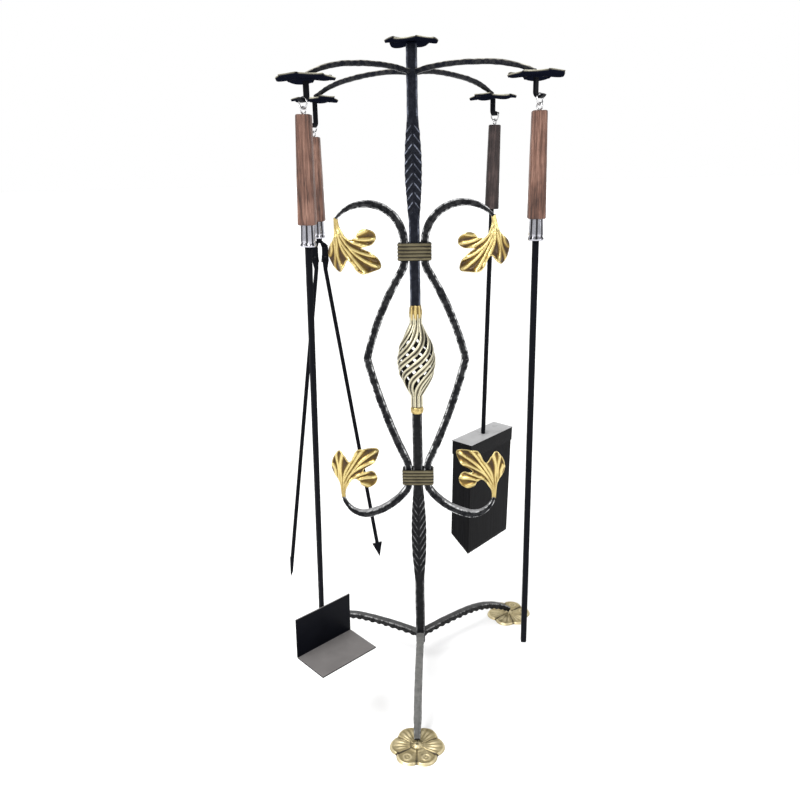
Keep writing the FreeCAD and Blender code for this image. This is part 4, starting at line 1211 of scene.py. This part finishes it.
def make_ferrule(tool):
    """A bright fluted socket with a rolled rim at its foot."""
    node = tool + "_ferrule"
    ends = tool_levels(tool, node, 2)
    levels = np.concatenate([ends[0] + np.linspace(0, 3.4, 14),
                             np.linspace(ends[0] + 4.0, ends[1] - 2, 24),
                             ends[1] - np.linspace(1.6, 0, 6)])
    share = (levels - ends[0]) / (ends[1] - ends[0])
    half = FERRULE_FOOT - 0.5 + (FERRULE_TOP - FERRULE_FOOT) * share
    half += 0.5 * np.exp(-((levels - ends[0] - 1.6) / 1.0) ** 2)
    half -= 0.5 * np.exp(-((levels - ends[0] - 4.2) / 0.8) ** 2)

    def fluted_socket(i, section):
        angle = np.arctan2(section[:, 1], section[:, 0])
        flute = 0.5 + 0.5 * np.cos(angle * 8.0 + math.pi)
        section = section * (1.0 - 0.07 * (1.0 - flute))[:, None]
        rolled = 1.0 if share[i] < 0.06 else 0.0
        # The relief is low in the flute hollows, where the chrome material paints shade.
        return section, np.clip(flute ** 0.8 + rolled, 0.0, 1.0)

    grid = straight_grid(levels, half, half, fluted_socket, 96, 3.4)
    tool_piece("socket_" + tool, tool, node, grid, CHROME)


def make_shaft(tool, node, foot_half, head_half, deep_foot, deep_head, turn, power, tip):
    """A drawn bar from the ferrule down, its lowest end rounded over `tip`."""
    levels = tool_levels(tool, node, 2)
    levels = np.concatenate([levels[0] + np.linspace(0, tip, 8),
                             np.linspace(levels[0] + tip + 2, levels[1], 90)])
    share = (levels - levels[0]) / (levels[-1] - levels[0])
    across = foot_half + (head_half - foot_half) * share
    deep = deep_foot + (deep_head - deep_foot) * share
    close = np.clip((levels - levels[0]) / max(tip, 0.01), 0.0, 1.0)
    ease = 1.0 - 0.25 * (1.0 - np.sqrt(1.0 - (1.0 - close) ** 2))
    grid = straight_grid(levels, across * ease, deep * ease, plain, 32, power, turn, 0.08)
    tool_piece("bar_" + node, tool, node, grid, SATIN)


PAN_TURN = 46.5
PAN_WIDTH = 78.0
PAN_BACK = 51.0
PAN_FLOOR = 48.0
PAN_SHEET = 1.6
PAN_FOLD = 2.4
CRISP_ANGLE = math.radians(35.0)
SHOVEL_FOOT = 4.8


def pan_profile():
    """The pan's folded section as outer (y, z) points, from the lip to the back's top."""
    near = -SHOVEL_FOOT / 2
    outer = [(near - PAN_FLOOR, 0.0)]
    outer += [(near - PAN_FLOOR + 0.5 * k, 0.0) for k in (1, 2)]
    outer += [(near - PAN_FLOOR + share * (PAN_FLOOR - PAN_FOLD), 0.0)
              for share in np.linspace(0.1, 0.98, 16)]
    for step in range(9):
        angle = -math.pi / 2 + step / 8 * math.pi / 2
        outer.append((near - PAN_FOLD + PAN_FOLD * math.cos(angle),
                      PAN_FOLD + PAN_FOLD * math.sin(angle)))
    outer += [(near, PAN_FOLD + share * (PAN_BACK - PAN_FOLD))
              for share in np.linspace(0.05, 1.0, 18)]
    return np.array(outer)


def make_pan():
    """The shovel's pan: one sheet folded to an L, its edges eased."""
    outer = pan_profile()
    tangents = np.gradient(outer, axis=0)
    tangents /= np.linalg.norm(tangents, axis=1)[:, None]
    normals = np.stack([-tangents[:, 1], tangents[:, 0]], axis=1)
    inner = outer + normals * PAN_SHEET
    loop = np.concatenate([outer, inner[::-1]])
    steps = np.linspace(-PAN_WIDTH / 2, PAN_WIDTH / 2, 41)
    angle = math.radians(PAN_TURN)
    base = low("shovel_pan") - PIVOTS["shovel"].z / MM
    points = np.zeros((len(steps), len(loop), 3))
    for i, x in enumerate(steps):
        edge = 0.5 * (abs(x) / (PAN_WIDTH / 2)) ** 60
        for j, (y, z) in enumerate(loop):
            y = y - 0.35 * math.sin(math.pi * (x / PAN_WIDTH + 0.5)) * (z / PAN_BACK)
            points[i, j] = (*spun(x, y, angle), base + z + edge * 0.1)
    relief = np.full(points.shape[:2], 0.6)
    piece = grid_piece("folded_pan", [(points, relief)], placement=tool_placement("shovel"))
    bevel = piece.modifiers.new("edges", "BEVEL")
    bevel.width = 0.35 * MM
    bevel.segments = 2
    bevel.limit_method = "ANGLE"
    bevel.angle_limit = math.radians(50.0)
    apply_modifiers(piece)
    finish_piece(piece, SHEET, "shovel", "shovel_pan")
    rework(piece, keep_crisp)


def keep_crisp(work):
    """Keep edges sharper than a limit crisp."""
    for edge in work.edges:
        edge.smooth = edge.calc_face_angle(0.0) < CRISP_ANGLE


BRUSH_TURN = 52.0
BRUSH_LENGTH = 100.0
BRUSH_WIDTH = 32.0
CAP_WALL = 0.8
BRISTLE_SLANT = 22.0


def make_bristles():
    """Straight dense bristles: fine upright ridges and a slightly ragged foot."""
    rng = np.random.RandomState(7)
    half_x = BRUSH_LENGTH / 2 - CAP_WALL
    half_y = BRUSH_WIDTH / 2 - CAP_WALL
    count_x = 110
    count_y = 36
    ring = PIVOTS["brush"].z / MM
    bottom = low("brush_bristles") - ring + 1.0
    top = high("brush_bristles") - ring - 0.5
    corners = [(-half_x, -half_y), (half_x, -half_y), (half_x, half_y), (-half_x, half_y)]
    outline = []
    for number, (x, y) in enumerate(corners):
        next_x, next_y = corners[(number + 1) % 4]
        count = count_y if number % 2 else count_x
        outline += [(x + (next_x - x) * k / count, y + (next_y - y) * k / count)
                    for k in range(count)]
    outline = np.array(outline)
    ridge = rng.uniform(0.0, 0.25, len(outline))
    ragged = rng.uniform(0.0, 1.6, len(outline))
    levels = np.linspace(bottom, top, 30)
    angle = math.radians(BRUSH_TURN)
    points = np.zeros((len(levels), len(outline), 3))
    relief = np.zeros(points.shape[:2])
    for i, level in enumerate(levels):
        share = (level - bottom) / (top - bottom)
        for j, (x, y) in enumerate(outline):
            scale = 1.0 - ridge[j] / 28.0 * (1.0 - 0.6 * share)
            slant = BRISTLE_SLANT * (y / half_y + 1.0) / 2 * (1.0 - share)
            z = level + slant + (ragged[j] * 0.5 if i == 0 else 0.0)
            points[i, j] = (*spun(x * scale, y * scale, angle), z)
            relief[i, j] = 1.0 - ridge[j]
    tool_piece("bristle_block", "brush", "brush_bristles", (points, relief), BRISTLE)


for tool in TOOL_ARMS:
    make_handle(tool)
for tool in ("poker", "shovel", "tongs"):
    make_ferrule(tool)
make_shaft("poker", "poker_shaft", 3.2, 3.2, 3.2, 3.2, 0.0, 7.0, 1.6)
make_shaft("shovel", "shovel_shaft", 2.4, 3.2, 2.4, 2.4, PAN_TURN, 5.0, 1.0)
make_shaft("brush", "brush_rod", 3.0, 3.0, 3.0, 3.0, 0.0, 2.0, 0.2)
make_pan()
make_bristles()


# --- CAD nodes that stay

def dress(node, material):
    """Give a carried-over CAD node a finished material."""
    piece = frame["nodes"][node]
    piece.data.materials.clear()
    piece.data.materials.append(material)


for tool in TOOL_ARMS:
    dress(tool + "_ring", WIRE)
    dress(tool + "_eye", WIRE)
for arm in ARM_BEARINGS:
    dress("hook_" + arm, SATIN)
dress("brush_cap", CAP_SHEET)
for node in ("tongs_bow", "tongs_rivets", "tongs_prong_left", "tongs_prong_right"):
    dress(node, SATIN)


# --- stage, light, camera

def make_floor():
    """A plain pale floor under the set, its size in metres."""
    work = bmesh.new()
    bmesh.ops.create_grid(work, x_segments=8, y_segments=8, size=40.0)
    floor = new_object("floor", work, Matrix.Identity(4))
    material, tree, shader = new_material("floor_pale")
    tone = grey_ramp(tree, noise_map(tree, 3.0, 2.0, 0.5), (0.3, 0.86), (0.7, 0.89))
    tree.links.new(tone, shader.inputs["Base Color"])
    shader.inputs["Roughness"].default_value = 0.9
    floor.data.materials.append(material)


def add_area(name, place, target, size, power, colour):
    """A soft square lamp at a place, aimed at a target, both in metres."""
    light = bpy.data.lights.new(name, "AREA")
    light.shape = "SQUARE"
    light.size = size
    light.energy = power
    light.color = colour
    lamp = bpy.data.objects.new(name, light)
    lamp.location = place
    lamp.rotation_euler = (Vector(target) - Vector(place)).to_track_quat("-Z", "Y").to_euler()
    bpy.context.scene.collection.objects.link(lamp)


def make_light():
    """A studio that is white behind the set and dimmer in front, under one soft sun."""
    world = bpy.data.worlds.new("studio")
    world.use_nodes = True
    tree = world.node_tree
    background = tree.nodes["Background"]
    source = tree.nodes.new("ShaderNodeTexCoord")
    depth = part_of(tree, source.outputs["Generated"], "Y")
    strength = map_range(tree, depth, -0.35, 0.45, 0.62, 1.0, "SMOOTHSTEP")
    tree.links.new(strength, background.inputs["Strength"])
    background.inputs["Color"].default_value = (1.0, 1.0, 1.0, 1.0)
    bpy.context.scene.world = world
    middle = (AXIS.x, AXIS.y, 0.4)
    add_area("key", (-1.2, -1.6, 1.5), middle, 0.7, 22.0, (1.0, 0.985, 0.96))
    add_area("fill", (1.5, -1.2, 0.9), middle, 0.5, 9.0, (0.97, 0.98, 1.0))
    sun = bpy.data.lights.new("sun", "SUN")
    sun.energy = 2.3
    sun.angle = math.radians(35.0)
    lamp = bpy.data.objects.new("sun", sun)
    lamp.rotation_euler = Vector((0.35, 0.30, -0.89)).to_track_quat("-Z", "Y").to_euler()
    bpy.context.scene.collection.objects.link(lamp)


CAMERA_PLACE = Vector((30.4, -866.8, 627.6))
CAMERA_PITCH = 0.2951
CAMERA_YAW = -0.0587
CAMERA_ROLL = -0.0226
CAMERA_LENS = 33.69


def make_camera():
    """The camera in front of the set, above its middle and looking down."""
    forward = Vector((math.sin(CAMERA_YAW) * math.cos(CAMERA_PITCH),
                      math.cos(CAMERA_YAW) * math.cos(CAMERA_PITCH),
                      -math.sin(CAMERA_PITCH)))
    right = forward.cross(Vector((0.0, 0.0, 1.0))).normalized()
    up = right.cross(forward)
    rolled_right = math.cos(CAMERA_ROLL) * right + math.sin(CAMERA_ROLL) * up
    rolled_up = -math.sin(CAMERA_ROLL) * right + math.cos(CAMERA_ROLL) * up
    data = bpy.data.cameras.new("camera")
    data.sensor_width = 36.0
    data.lens = CAMERA_LENS
    data.clip_start = 0.01
    camera = bpy.data.objects.new("camera", data)
    turn = Matrix((rolled_right, rolled_up, -forward)).transposed().to_4x4()
    camera.matrix_world = Matrix.Translation(CAMERA_PLACE * MM + AXIS) @ turn
    bpy.context.scene.collection.objects.link(camera)
    bpy.context.scene.camera = camera


make_floor()
make_light()
make_camera()
bpy.context.scene.view_settings.view_transform = "Standard"
